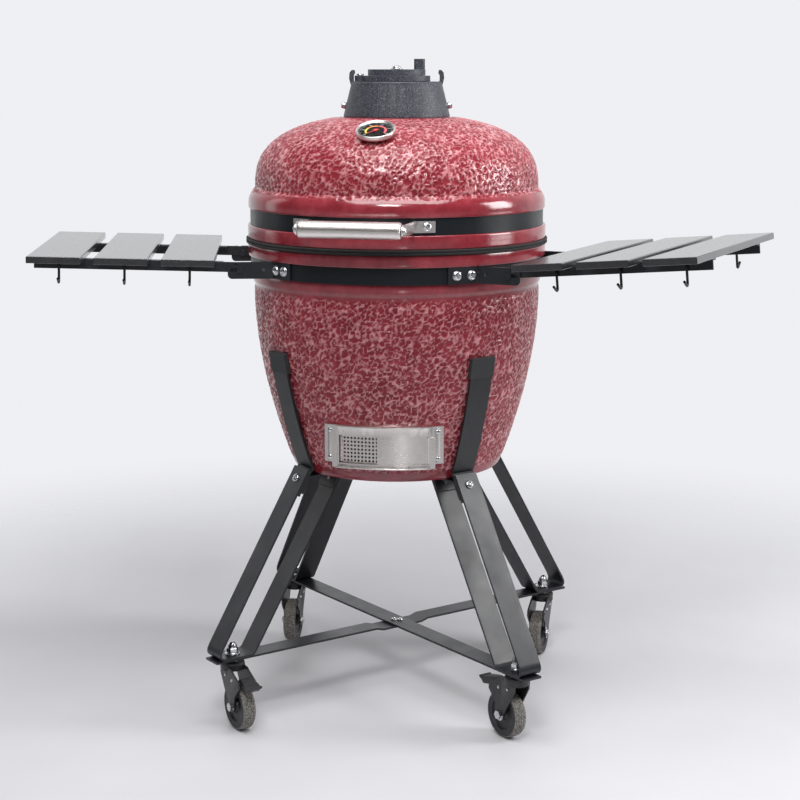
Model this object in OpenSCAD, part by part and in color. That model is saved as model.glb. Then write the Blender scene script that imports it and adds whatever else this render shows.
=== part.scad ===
/* [Ceramic body] */
// Height of the bowl's flat bottom above the floor
bowl_bottom_z = 450; // [445:1:455]
// Height at which the textured bowl meets its smooth shoulder
bowl_top_z = 794; // [790:1:798]
// Outer radius of the bowl at its shoulder
bowl_r_top = 265; // [263:0.5:266]
// How far the bowl narrows towards its bottom
bowl_narrowing = 71; // [60:1:74]
// Thickness of the bowl's wall
bowl_wall = 24; // [20:1:26]
// Outer radius of the two smooth rims that meet at the gasket
rim_r = 277; // [276:0.5:278]
// Height of the base rim's top face
rim_z = 869; // [868:1:870]
// Height of the lid's rim, from its bottom face to the dome's foot
lid_collar_h = 91.5; // [90:0.5:93]
// Height of the dome above the collar
dome_h = 132; // [126:1:135]
// Roundness of the dome, where 2 is an ellipse and more is squarer
dome_power = 2.5; // [2.3:0.05:2.7]
// Thickness of the lid's wall
lid_wall = 23; // [20:1:25]

/* [Bands and hinge] */
// Height of each steel band
band_h = 30; // [26:1:30]
// Thickness of each steel band
band_t = 3.5; // [2.5:0.1:3.6]
// Distance of the hinge pin behind the grill's axis
hinge_y = 330; // [325:1:335]
// Thickness of each felt gasket
gasket_t = 4.6; // [3:0.1:4.7]

/* [Handle and thermometer] */
// How far the lid's handle sits turned from the cart's front
lid_turn = -3.9; // [-6:0.1:0]
// How far the thermometer sits turned from the cart's front
thermo_turn = -0.7; // [-4:0.1:1]
// Length of the handle's tube
handle_l = 180; // [170:1:186]
// Diameter of the handle's tube
handle_d = 30; // [26:1:32]
// Distance of the handle in front of the grill's axis
handle_y = 340; // [335:1:345]
// Diameter of the thermometer's bezel
thermo_d = 70; // [64:1:74]

/* [Vent] */
// Height of the vent's cast base above the dome
vent_base_h = 64; // [58:1:66]
// Radius of the vent's chimney
chimney_r = 56; // [50:1:57]
// Thickness of the swinging plate
vent_plate_t = 10.5; // [8:0.5:11]
// Thickness of the wheel
vent_wheel_t = 11; // [8:0.5:12]
// How far the vent sits turned on the lid
vent_turn = 8; // [0:1:15]

/* [Draft door] */
// Direction of the middle of the draft frame, from the front towards the right
draft_mid = 3.4; // [0:0.1:6]
// Height of the draft frame
draft_h = 77; // [74:1:80]
// Width of the draft frame, as an angle round the bowl
draft_span = 53.6; // [53:0.2:55]

/* [Cart] */
// Half the distance between two neighbouring caster stems
stem_half = 261; // [255:1:265]
// Height of the top of the foot plates above the floor
foot_z = 134; // [132:1:138]
// Width of the leg straps
leg_w = 47; // [44:1:48]
// Thickness of the leg straps
leg_t = 4; // [3:0.5:4]
// Width of the two crossed brace bars
brace_w = 40; // [35:1:45]

/* [Casters] */
// Diameter of each wheel
wheel_d = 88; // [86:1:89]
// Width of each wheel
wheel_w = 25; // [22:1:26]
// Distance of each wheel's axle behind its stem
caster_trail = 28; // [26:1:30]

/* [Shelves] */
// How far the left shelf is swept forward
shelf_sweep_left = 13.5; // [13:0.5:17]
// How far the right shelf is swept forward
shelf_sweep_right = 16.8; // [13:0.5:19]
// Upward tilt of the left shelf towards its outer edge
shelf_tilt_left = 1.7; // [0:0.1:6]
// Upward tilt of the right shelf towards its outer edge
shelf_tilt_right = 5.2; // [0:0.1:6]
// Length of each slat
slat_l = 476; // [440:1:490]
// Width of each slat
slat_w = 92; // [85:1:96]
// Thickness of each slat
slat_t = 12; // [9:0.5:14]
// Distance from one slat's middle to the next
slat_pitch = 115; // [110:1:120]
// Distance from the grill's axis to the first slat's inner edge
slat_start = 333; // [330:1:340]

/* [Hidden] */
$fn = 96;
cut = 1;            // how far a cutting shape runs past the face it cuts
gap = 0.4;          // clearance between two pieces that move past each other

// Heights, from the bowl up
lower_band_z = rim_z - 22 - band_h;
lid_z = rim_z + 2 * gasket_t + 0.3;
upper_band_z = lid_z + 24.5;
dome_z = lid_z + lid_collar_h;
vent_z = dome_z + dome_h - 4;
vent_top_z = vent_z + vent_base_h;
seat_r = 268.6;     // the rims are recessed to this radius under the bands
band_r = seat_r + 0.2 + band_t;
dome_r = 262;
chimney_hole_r = chimney_r + 5;

// Legs, as distances from the grill's axis and heights
leg_out_top = [214, 462];
leg_in_top = [142, 445];
foot_out = [415, foot_z - leg_t / 2];
foot_in = [337, foot_z - leg_t / 2];
bolt_r = 4;
bolt_hole_r = bolt_r + 0.1;

// Casters: the corner each stands at and the way its wheel trails
caster_corner = [[-1, -1], [1, -1], [-1, 1], [1, 1]];
trail_angle = [-49.5, 133.5, -90, -98];
fork_top_z = 120;
pedal_pin = [caster_trail + 26, wheel_d + 3];

// Shelves: the pin that each shelf folds about, from the grill's axis
shelf_pin = [290, lower_band_z + 16];
rail_v = 143.6;     // inner face of each rail from the shelf's middle
rail_t = 3;
bracket_v = rail_v + rail_t + gap;
bracket_t = 3.5;
slat_low = 13.4;    // underside of the slats above the fold pin
rail_h = 18;

// Draft door: radii of the land, the screen, the door and the frame
land_r = 229.4;
screen_r = 230;
door_r = 234.1;
sheet_t = 1.2;
frame_r = 236;
frame_t = 1.5;
draft_z = 483;
window_z = draft_z + 9;
window_h = 50;
window_from = -16.3;
window_to = 24;

function unit(v) = v / norm(v);
function perp(v) = [-v[1], v[0]];
function reversed(p) = [for (i = [len(p) - 1:-1:0]) p[i]];

// Points of the outline d to one side of a path
function side_pts(p, d) = [
    for (i = [0:len(p) - 1])
        let (a = i > 0 ? unit(p[i] - p[i - 1]) : unit(p[1] - p[0]),
             b = i < len(p) - 1 ? unit(p[i + 1] - p[i]) : a,
             n = unit(perp(a) + perp(b)))
        p[i] + n * d / (n * perp(a))
];

// Points of a smooth bend from a to c round the corner b
function bend(a, b, c, r, n = 5) =
    let (u = unit(a - b), v = unit(c - b), d = r / tan(acos(u * v) / 2))
    [for (i = [0:n]) let (s = i / n)
        (1 - s) * (1 - s) * (b + u * d) + 2 * s * (1 - s) * b + s * s * (b + v * d)];

// Outer radius of the bowl and height of the dome's surface
function bowl_r(z) = bowl_r_top
    - (z < bowl_top_z - 22 ? bowl_narrowing
        * pow((bowl_top_z - 22 - z) / (bowl_top_z - 22 - bowl_bottom_z), 1.78) : 0);
function dome_top(r, radius, height) =
    height * pow(1 - pow(r / radius, dome_power), 1 / dome_power);

// A flat strap of thickness t bent along a path in the radius-height plane
module strap(path, t, w) {
    rotate([90, 0, 0]) linear_extrude(w, center = true)
        polygon(concat(side_pts(path, t / 2), reversed(side_pts(path, -t / 2))));
}

// Part of a ring between two radii, a height range and two directions from the front
module ring_part(r0, r1, z0, h, from, to) {
    rotate([0, 0, from - 90]) rotate_extrude(angle = to - from)
        translate([r0, z0]) square([r1 - r0, h]);
}

module ring(r0, r1, z0, h) {
    rotate_extrude() translate([r0, z0]) square([r1 - r0, h]);
}

// Places something at a direction from the front, facing outwards along its own +Z
module facing(az, r, z) {
    rotate([0, 0, az]) translate([0, -r, z]) rotate([90, 0, 0]) children();
}

// A bolt with a domed head, standing on the plane z = 0 with its shank below
module bolt(r, shank, head_r, head_h) {
    rotate_extrude() polygon(concat([[0, -shank], [r, -shank], [r, 0], [head_r, 0]],
        [for (a = [0:15:90]) [head_r * cos(a), head_h * (0.3 + 0.7 * sin(a))]]));
}

// ---- Ceramic body ----

// Half outline of the bowl's outside, from its bottom edge up to the band
function bowl_outline() = concat(
    [[bowl_r(bowl_bottom_z) - 5, bowl_bottom_z],
     [bowl_r(bowl_bottom_z) - 1, bowl_bottom_z + 2]],
    [for (i = [0:14]) let (z = bowl_bottom_z + 6 + (bowl_top_z - bowl_bottom_z - 8) * i / 14)
        [bowl_r(z), z]],
    [[bowl_r_top + 2.5, bowl_top_z + 3], [bowl_r_top + 4, bowl_top_z + 9],
     [bowl_r_top + 3.6, lower_band_z]]);

function bowl_inside() = [for (i = [0:12])
    let (z = rim_z - (rim_z - bowl_bottom_z - bowl_wall) * i / 12)
        [min(bowl_r(max(z, bowl_bottom_z)) - bowl_wall, 241), z]];

module base_bowl() {
    color("indianred") difference() {
        union() {
            rotate_extrude() polygon(concat(bowl_outline(),
                [[seat_r, lower_band_z], [seat_r, lower_band_z + band_h],
                 [rim_r, lower_band_z + band_h], [rim_r, rim_z - 1.5], [rim_r - 1.5, rim_z]],
                bowl_inside(), [[0, bowl_bottom_z + bowl_wall], [0, bowl_bottom_z]]));
            ring_part(200, land_r, draft_z, draft_h,
                draft_mid - draft_span / 2, draft_mid + draft_span / 2);
        }
        ring_part(land_r, frame_r + 10, draft_z - 0.3, draft_h + 0.6,
            draft_mid - draft_span / 2 - 0.1, draft_mid + draft_span / 2 + 0.1);
        ring_part(150, land_r + cut, window_z + 2, window_h - 4, window_from + 2, window_to - 2);
    }
}

module fire_box() {
    top_z = 690;
    color("tan") difference() {
        rotate_extrude() polygon([[0, 480], [150, 480], [178, 500], [222, top_z],
            [202, top_z], [160, 516], [0, 516]]);
        translate([0, 0, 480 - cut]) cylinder(r = 60, h = 36 + 2 * cut);
        for (a = [0:45:315]) rotate([0, 0, a + 22.5]) translate([110, 0, 480 - cut])
            cylinder(r = 12, h = 36 + 2 * cut, $fn = 32);
    }
}

module fire_ring() {
    color("tan") rotate_extrude() polygon([[202, 690.2], [222, 690.2], [233, 730],
        [233, 770], [215, 770], [215, 730]]);
}

// A round cast grate: an outer ring and parallel bars
module grate(r, z, h, bar_w, pitch) {
    ring(r - 8, r, z, h);
    intersection() {
        for (x = [-floor(r / pitch) * pitch:pitch:r]) translate([x - bar_w / 2, -r, z])
            cube([bar_w, 2 * r, h]);
        translate([0, 0, z - cut]) cylinder(r = r - 4, h = h + 2 * cut);
    }
}

module charcoal_grate() { color("dimgray") grate(155, 516.2, 8, 8, 22); }

module cooking_grid() { color("silver") grate(228, 770.2, 6, 5, 16); }

module lower_gasket() { color("black") ring(244, rim_r + 4, rim_z, gasket_t); }

module upper_gasket() { color("black") ring(244, rim_r + 4, lid_z - gasket_t, gasket_t); }

module lid_dome() {
    top_hole = chimney_hole_r;
    color("indianred") difference() {
        rotate_extrude() polygon(concat(
            [[241, lid_z], [rim_r - 1.5, lid_z], [rim_r, lid_z + 1.5], [rim_r, upper_band_z],
             [seat_r, upper_band_z], [seat_r, upper_band_z + band_h],
             [rim_r - 1.5, upper_band_z + band_h], [rim_r - 1.5, dome_z - 24],
             [rim_r - 3.5, dome_z - 14], [rim_r - 8.5, dome_z - 7], [dome_r + 2.5, dome_z - 3]],
            [for (i = [0:16]) let (r = dome_r - (dome_r - top_hole) * (1 - cos(i * 90 / 16)))
                [r, dome_z + dome_top(r, dome_r, dome_h)]],
            [for (i = [12:-1:0]) let (r = 239 - (239 - top_hole) * (1 - cos(i * 90 / 12)))
                [r, dome_z - 4 + dome_top(r, 239, dome_h - lid_wall + 4)]]));
        on_thermometer_axis() translate([0, 0, -60]) cylinder(r = 5.2, h = 90);
    }
}

// ---- Bands and hinge ----

module lower_band() {
    color("black") difference() {
        ring(seat_r + 0.2, band_r, lower_band_z, band_h);
        bracket_bolts() translate([0, 0, -20]) cylinder(r = 3.1, h = 40);
        hinge_bolts(lower_band_z) translate([0, 0, -20]) cylinder(r = 3.1, h = 40);
    }
}

module upper_band() {
    color("black") difference() {
        ring(seat_r + 0.2, band_r, upper_band_z, band_h);
        handle_bolts() translate([0, 0, -20]) cylinder(r = 3.1, h = 40);
        hinge_bolts(upper_band_z) translate([0, 0, -20]) cylinder(r = 3.1, h = 40);
    }
}

// Places of the bolts that hold a hinge saddle to a band
module hinge_bolts(z) {
    for (a = [-18, 18]) facing(180 + a, band_r + 4.2, z + band_h / 2) children();
}

hinge_z = rim_z + gasket_t + 13;

// One cheek of the hinge: a plate across X with a round eye for the pin
module hinge_cheek(x, t, outline, eye_r) {
    difference() {
        union() {
            translate([x, 0, 0]) rotate([90, 0, 90]) linear_extrude(t, center = true)
                polygon(outline);
            translate([x - t / 2, hinge_y, hinge_z]) rotate([0, 90, 0]) cylinder(r = eye_r, h = t);
        }
        translate([x - t, hinge_y, hinge_z]) rotate([0, 90, 0]) cylinder(r = 6.05, h = 2 * t);
    }
}

module hinge_bracket() {
    back = band_r + 0.2;
    color("black") difference() {
        union() {
            ring_part(back, back + 4, lower_band_z, band_h, 180 - 21, 180 + 21);
            for (x = [-62, 62]) hinge_cheek(x, 4,
                [[back - 3, lower_band_z], [back + 8, lower_band_z - 10],
                 [hinge_y + 3, lower_band_z - 10], [hinge_y + 14, lower_band_z + 4],
                 [hinge_y + 14, hinge_z], [hinge_y - 14, hinge_z], [hinge_y - 20, hinge_z - 14],
                 [back + 2, lower_band_z + band_h], [back - 3, lower_band_z + band_h - 3]], 14);
        }
        translate([0, 0, lower_band_z - 50]) cylinder(r = back, h = 200);
        hinge_bolts(lower_band_z) translate([0, 0, -20]) cylinder(r = 3.1, h = 40);
    }
}

module hinge_arm() {
    back = band_r + 0.2;
    tail = [hinge_y + 66, hinge_z + 12];
    color("black") difference() {
        union() {
            ring_part(back, back + 4, upper_band_z, band_h, 180 - 21, 180 + 21);
            for (x = [-52, 52]) hinge_cheek(x, 4,
                [[back - 4, upper_band_z + 4], [hinge_y - 14, hinge_z], [hinge_y, hinge_z - 14],
                 [tail[0], tail[1] - 7], [tail[0] + 5, tail[1]], [tail[0], tail[1] + 7],
                 [hinge_y + 4, hinge_z + 20], [back - 4, upper_band_z + band_h]], 14);
            translate([-50, tail[0], tail[1]]) rotate([0, 90, 0]) cylinder(r = 6, h = 100);
        }
        translate([0, 0, upper_band_z - 50]) cylinder(r = back, h = 200);
        hinge_bolts(upper_band_z) translate([0, 0, -20]) cylinder(r = 3.1, h = 40);
    }
}

module hinge_pin() {
    color("silver") translate([-68, hinge_y, hinge_z]) rotate([0, 90, 0]) {
        cylinder(r = 6, h = 136);
        translate([0, 0, -5]) cylinder(r = 10, h = 5);
        translate([0, 0, 136]) cylinder(r = 10, h = 5);
    }
}

// Two torsion springs of touching turns round the pin
module hinge_springs() {
    wire_r = 2.5;
    color("dimgray") for (side = [-1, 1], i = [0:6])
        translate([side * (8 + wire_r * 2 * i), hinge_y, hinge_z]) rotate([0, 90, 0])
            rotate_extrude() translate([9.5, 0]) circle(r = wire_r + 0.2, $fn = 24);
}

// Places of the bolts through the shelf brackets and the lower band
module bracket_bolts() {
    for (az = [-41.7, -36.9, -115.9, -111.6, 31.9, 37.9, 110.8, 115.8])
        facing(az, band_r + bracket_t + 0.2, lower_band_z + band_h / 2) children();
}

module base_bolts() {
    color("silver") {
        bracket_bolts() bolt(3, 6.5, 8, 5);
        hinge_bolts(lower_band_z) bolt(3, 7.2, 6.5, 4.5);
        draft_screws() bolt(2, 5, 4, 2.4);
    }
}

// ---- Draft door ----

module draft_screws() {
    for (az = [draft_mid - 24.2, draft_mid + 24.2], z = [draft_z + 18, draft_z + draft_h - 10])
        facing(az, frame_r + frame_t, z) children();
}

module draft_frame() {
    from = draft_mid - draft_span / 2;
    to = draft_mid + draft_span / 2;
    color("silver") difference() {
        union() {
            ring_part(land_r + 0.1, frame_r + frame_t, draft_z, draft_h, from, to);
            ring_part(frame_r + 0.5, frame_r + 7, draft_z + 0.5, 1.5, from + 6, to - 6);
            ring_part(frame_r + 0.5, frame_r + 5, draft_z + draft_h - 2, 1.5, from + 6, to - 6);
        }
        ring_part(land_r - cut, frame_r, draft_z + 3, draft_h - 13, from + 4, to - 4);
        for (az = [from - 1.6, to - 3.8]) ring_part(land_r - cut, frame_r + 10, draft_z - cut,
            9 + cut, az, az + 5.4);
        ring_part(frame_r - cut, frame_r + 3, window_z, window_h, window_from, window_to);
        draft_screws() translate([0, 0, -6]) cylinder(r = 2.1, h = 10);
    }
}

module draft_screen() {
    step = 1.66;
    color("silver") difference() {
        union() {
            ring_part(screen_r, screen_r + sheet_t, draft_z + 3.4, draft_h - 14, -19, 6);
            ring_part(screen_r, screen_r + 3.5, window_z + 2, window_h - 4, -16.2, -15.5);
        }
        for (i = [0:10], j = [0:6]) facing(-14.2 + step * i, screen_r - 3, window_z + 4.6 + 6.8 * j)
            cylinder(r = 2, h = 10, $fn = 24);
    }
}

module draft_door() {
    color("silver") {
        ring_part(door_r, door_r + sheet_t, draft_z + 3.4, draft_h - 14, 1, 23.5);
        ring_part(door_r + 0.5, frame_r + frame_t + 0.6, window_z + 1, window_h - 2, 22.9, 23.4);
        ring_part(frame_r + frame_t + 0.4, frame_r + frame_t + 1.4, window_z + 1, window_h - 2,
            22.9, 26.3);
    }
}

// ---- Handle ----

// Places of the bolts through the handle's brackets and the upper band
module handle_bolts() {
    for (side = [-1, 1]) facing(lid_turn + side * 24.3, band_r + 3.2,
        upper_band_z + band_h / 2) children();
}

module handle_brackets() {
    arm_t = 3;
    arm_x = handle_l / 2 + 1.3;
    z = upper_band_z + band_h / 2;
    color("silver") difference() {
        union() {
            for (side = [-1, 1]) ring_part(band_r + 0.2, band_r + 3.2, z - 10, 20,
                lid_turn + (side < 0 ? -27.5 : 19.4), lid_turn + (side < 0 ? -19.4 : 27.5));
            rotate([0, 0, lid_turn]) for (side = [-1, 1])
                translate([side * (arm_x + arm_t / 2), 0, z]) {
                    translate([-arm_t / 2, -handle_y, -10]) cube([arm_t, handle_y - 252, 20]);
                    translate([-arm_t / 2, -handle_y, 0]) rotate([0, 90, 0])
                        cylinder(r = 10, h = arm_t);
                }
        }
        translate([0, 0, z - 50]) cylinder(r = band_r + 0.2, h = 100);
        handle_bolts() translate([0, 0, -20]) cylinder(r = 3.1, h = 40);
        rotate([0, 0, lid_turn]) translate([-150, -handle_y, z]) rotate([0, 90, 0])
            cylinder(r = 4.1, h = 300);
    }
}

// A straight tube with rounded ends, bored for its end screws
module handle_grip() {
    r = handle_d / 2;
    half = handle_l / 2;
    color("silver") rotate([0, 0, lid_turn])
        translate([0, -handle_y, upper_band_z + band_h / 2]) rotate([0, 90, 0]) difference() {
            rotate_extrude() polygon(concat(
                [[0, -half]], [for (a = [0:15:90]) [r - 5 + 5 * sin(a), -half + 5 - 5 * cos(a)]],
                [for (a = [90:-15:0]) [r - 5 + 5 * sin(a), half - 5 + 5 * cos(a)]], [[0, half]]));
            for (z = [-half - cut, half - 20]) translate([0, 0, z]) cylinder(r = 4.1, h = 20 + cut);
        }
}

module lid_bolts() {
    z = upper_band_z + band_h / 2;
    color("silver") {
        handle_bolts() bolt(3, 6.5, 8.5, 5);
        hinge_bolts(upper_band_z) bolt(3, 7.2, 6.5, 4.5);
        rotate([0, 0, lid_turn]) for (side = [-1, 1])
            translate([side * (handle_l / 2 + 4.4), -handle_y, z]) rotate([0, side * 90, 0])
                bolt(4, 20, 7, 4.5);
        rotate([0, 0, vent_turn]) {
            translate([-67, 0, vent_top_z + vent_plate_t + 0.8]) bolt(4, 24, 7, 4);
            vent_side_bolts() bolt(4, 6, 6, 9);
        }
    }
}

// ---- Thermometer ----

module on_thermometer_axis() {
    rotate([0, 0, thermo_turn]) translate([0, -200, dome_z + dome_top(200, dome_r, dome_h) + 1])
        rotate([24, 0, 0]) children();
}

module thermometer_case() {
    r = thermo_d / 2;
    color("silver") on_thermometer_axis() {
        rotate_extrude() polygon([[0, 3], [r - 6, 3], [r - 1.5, 6], [r, 8], [r, 12.5],
            [r - 1.5, 14], [r - 4.4, 14], [r - 4.4, 9], [0, 9]]);
        translate([0, 0, -55]) cylinder(r = 4, h = 58);
        translate([0, 0, 0.5]) cylinder(r = 10, h = 2.5);
    }
}

module thermometer_dial() {
    color("black") on_thermometer_axis() difference() {
        translate([0, 0, 9]) cylinder(r = thermo_d / 2 - 4.6, h = 0.8);
        translate([0, 0, 8]) cylinder(r = 1.55, h = 3);
    }
}

module thermometer_needle() {
    color("red") on_thermometer_axis() {
        translate([0, 0, 9.1]) cylinder(r = 1.5, h = 2);
        translate([0, 0, 10.2]) cylinder(r = 3.5, h = 1.2);
        rotate([0, 0, 222]) translate([-6, -0.9, 10.3]) cube([29, 1.8, 0.8]);
    }
}

module thermometer_lens() {
    color("lightgray") on_thermometer_axis() translate([0, 0, 12])
        cylinder(r = thermo_d / 2 - 4.6, h = 1.3);
}

// ---- Vent ----

// Places of the two bolts through the sloping sides of the vent's base
module vent_side_bolts() {
    for (side = [-1, 1]) translate([side * 93.9, 0, vent_z + 20])
        rotate([0, side * 76, 0]) children();
}

module vent_base() {
    top_r = 82;
    foot_r = 98;
    foot_z2 = dome_z + dome_top(foot_r, dome_r, dome_h) + 0.7;
    neck_z = dome_z + dome_top(chimney_hole_r, dome_r, dome_h) + 0.7;
    color("dimgray") rotate([0, 0, vent_turn]) difference() {
        union() {
            rotate_extrude() polygon([[chimney_r, vent_z - 22], [chimney_hole_r - 0.5, vent_z - 22],
                [chimney_hole_r - 0.5, neck_z], [foot_r, foot_z2], [foot_r, foot_z2 + 3],
                [top_r + 2, vent_top_z - 5], [top_r + 2, vent_top_z - 2],
                [top_r, vent_top_z], [chimney_r, vent_top_z]]);
            for (side = [0, 180]) rotate([0, 0, side]) translate([80.5, 0, vent_top_z - 6])
                rotate([90, 0, 0]) linear_extrude(16, center = true)
                    polygon([[-5, 0], [4, 0], [7, 12], [6, 22], [2, 27], [-3, 27], [-4, 22],
                        [-1.5, 17], [-1.5, 8], [-5, 4]]);
        }
        translate([-67, 0, vent_top_z - 16]) cylinder(r = 4.05, h = 20);
        vent_side_bolts() translate([0, 0, -9]) cylinder(r = 4.1, h = 14);
    }
}

vent_plate_z = vent_top_z + 0.3;
vent_wheel_z = vent_plate_z + vent_plate_t + 0.3;

// The six holes that the plate and the wheel share
module vent_holes(z, h) {
    for (a = [0:60:300]) rotate([0, 0, a + 30]) translate([31, 0, z]) cylinder(r = 11.5, h = h);
}

module vent_plate() {
    color("dimgray") rotate([0, 0, vent_turn]) difference() {
        union() {
            translate([0, 0, vent_plate_z]) cylinder(r = 62, h = vent_plate_t);
            translate([-67, 0, vent_plate_z]) cylinder(r = 10.4, h = vent_plate_t);
        }
        vent_holes(vent_plate_z - cut, vent_plate_t + 2 * cut);
        translate([-67, 0, vent_plate_z - cut]) cylinder(r = 4.05, h = 20);
        translate([0, 0, vent_plate_z - cut]) cylinder(r = 4.1, h = 20);
    }
}

module vent_wheel() {
    color("dimgray") rotate([0, 0, vent_turn]) {
        difference() {
            translate([0, 0, vent_wheel_z]) cylinder(r = 53, h = vent_wheel_t);
            vent_holes(vent_wheel_z - cut, vent_wheel_t + 2 * cut);
            translate([0, 0, vent_wheel_z - cut]) cylinder(r = 4.05, h = 20);
        }
        translate([42, 0, vent_wheel_z + vent_wheel_t]) linear_extrude(19)
            polygon([[-10, -6], [-7, -8], [7, -8], [10, -6], [10, 6], [7, 8], [-7, 8], [-10, 6]]);
    }
}

module vent_wheel_screw() {
    color("silver") {
        translate([0, 0, vent_plate_z]) cylinder(r = 4, h = vent_plate_t + vent_wheel_t + 1);
        translate([0, 0, vent_wheel_z + vent_wheel_t + 0.3]) cylinder(r = 11, h = 1.5);
        translate([0, 0, vent_wheel_z + vent_wheel_t + 1.5]) bolt(4, 1, 8, 6);
    }
}

// ---- Cart ----

// Turns a corner's own radius-height plane to the corner
module at_corner(i) {
    c = caster_corner[i];
    rotate([0, 0, atan2(c[1], c[0])]) children();
}

leg_dir = unit(foot_out - leg_out_top);
leg_in_dir = unit(foot_in - leg_in_top);
leg_normal = [leg_dir[1], -leg_dir[0]];
leg_in_normal = [-leg_in_dir[1], leg_in_dir[0]];

// Bolts across the leg's two arms and the stem through its foot
module leg_bores() {
    outer = leg_out_top + leg_dir * 22;
    inner = leg_in_top + leg_in_dir * 15;
    for (p = [[outer, leg_dir], [inner, leg_in_dir]])
        translate([p[0][0], 0, p[0][1]]) rotate([0, 90 - atan2(p[1][0], -p[1][1]), 0])
            translate([0, 0, -20]) cylinder(r = bolt_hole_r, h = 40);
    translate([stem_half * sqrt(2), 0, foot_z - 20]) cylinder(r = 5.1, h = 30);
}

module leg(i) {
    path = concat([leg_out_top], bend(leg_out_top, foot_out, foot_in, 14),
        bend(foot_out, foot_in, leg_in_top, 14), [leg_in_top]);
    color("black") at_corner(i) difference() {
        strap(path, leg_t, leg_w);
        leg_bores();
    }
}

cradle_t = 5;
seat_t = 4;

// The strap that follows the bowl down and laps inside the leg, and the seat under the bowl
module cradles() {
    lap = (leg_t + cradle_t) / 2 + 0.1;
    seat_lap = lap + (cradle_t + seat_t) / 2 + 0.1;
    seat_z = bowl_bottom_z - 0.2 - seat_t / 2;
    top = 678;
    crease = [bowl_r(463) + 6, 463];
    flange = leg_out_top + leg_normal * lap;
    hug = concat([for (i = [0:7]) let (z = top - (top - 474) * i / 7) [bowl_r(z) + 6, z]],
        [crease, flange + leg_dir * 4, flange + leg_dir * 52]);
    out_tab = leg_out_top + leg_normal * seat_lap;
    in_tab = leg_in_top + leg_in_normal * (lap - 0.4);
    seat_corner = out_tab + leg_dir * ((out_tab[1] - seat_z) / -leg_dir[1]);
    in_corner = in_tab + leg_in_dir * ((in_tab[1] - seat_z) / -leg_in_dir[1]);
    seat = concat([seat_corner + leg_dir * 34], bend(seat_corner + leg_dir * 34, seat_corner,
        in_corner, 5), bend(seat_corner, in_corner, in_corner + leg_in_dir * 32, 5),
        [in_corner + leg_in_dir * 32]);
    color("black") for (i = [0:3]) at_corner(i) difference() {
        union() {
            strap(hug, cradle_t, leg_w);
            strap(seat, seat_t, leg_w);
        }
        leg_bores();
    }
}

// A sleeve over the top of each cradle strap
module cradle_pads() {
    color("dimgray") for (i = [0:3]) at_corner(i) difference() {
        strap([for (z = [682, 664, 645]) [bowl_r(z) + 5.3, z]], 8.6, leg_w + 5);
        strap([for (i = [0:2]) let (z = 678 - 204 * i / 7) [bowl_r(z) + 6, z]], cradle_t + 0.1,
            leg_w + 0.2);
    }
}

// Two bars under the foot plates, where one steps down to pass under the other
module brace_bars() {
    reach = foot_out[0] - 2;
    z = foot_z - leg_t - 0.1 - 2;
    color("black") difference() {
        union() {
            rotate([0, 0, -45]) translate([-reach, -brace_w / 2, z - 2]) cube([2 * reach, brace_w, 4]);
            rotate([0, 0, 45]) strap([[-reach, z], [-60, z], [-45, z - 4.2], [45, z - 4.2],
                [60, z], [reach, z]], 4, brace_w);
        }
        for (x = [-6, 6]) translate([x, 0, z - 20]) cylinder(r = 3.1, h = 40);
        for (c = caster_corner) translate([stem_half * c[0], stem_half * c[1], z - 20])
            cylinder(r = 5.1, h = 40);
    }
}

module cart_bolts() {
    color("silver") {
        for (i = [0:3]) at_corner(i) {
            translate([leg_out_top[0] + leg_dir[0] * 22, 0, leg_out_top[1] + leg_dir[1] * 22])
                rotate([0, 90 - atan2(leg_dir[0], -leg_dir[1]), 0])
                    translate([0, 0, leg_t / 2 + 0.05]) bolt(bolt_r, 16, 8, 5);
            translate([leg_in_top[0] + leg_in_dir[0] * 15, 0, leg_in_top[1] + leg_in_dir[1] * 15])
                rotate([0, -90 - atan2(leg_in_dir[0], -leg_in_dir[1]), 0])
                    translate([0, 0, leg_t / 2 + 0.05]) bolt(bolt_r, 9, 8, 5);
        }
        for (c = caster_corner) translate([stem_half * c[0], stem_half * c[1], foot_z + 0.1])
            difference() {
                union() {
                    cylinder(r = 14, h = 2);
                    translate([0, 0, 2]) cylinder(r = 11, h = 9, $fn = 6);
                    translate([0, 0, 11]) rotate_extrude() polygon(concat([[0, 0]],
                        [for (a = [0:15:90]) [9 * cos(a), 13 * sin(a)]]));
                }
                translate([0, 0, -cut]) cylinder(r = 5.05, h = 12 + cut);
            }
        for (x = [-6, 6]) translate([x, 0, foot_z - leg_t - 0.1]) bolt(3, 12, 6, 4);
    }
}

// ---- Casters ----

module at_caster(i) {
    c = caster_corner[i];
    translate([stem_half * c[0], stem_half * c[1], 0]) rotate([0, 0, trail_angle[i]]) children();
}

module caster_stems() {
    color("silver") for (i = [0:3]) at_caster(i) {
        translate([0, 0, fork_top_z - 14]) cylinder(r = 5, h = foot_z + 12 - fork_top_z + 12);
        translate([0, 0, fork_top_z + 0.3]) cylinder(r = 11, h = foot_z - leg_t - 4.5 - fork_top_z);
        translate([0, 0, fork_top_z - 18]) cylinder(r = 8.5, h = 4);
    }
}

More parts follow.
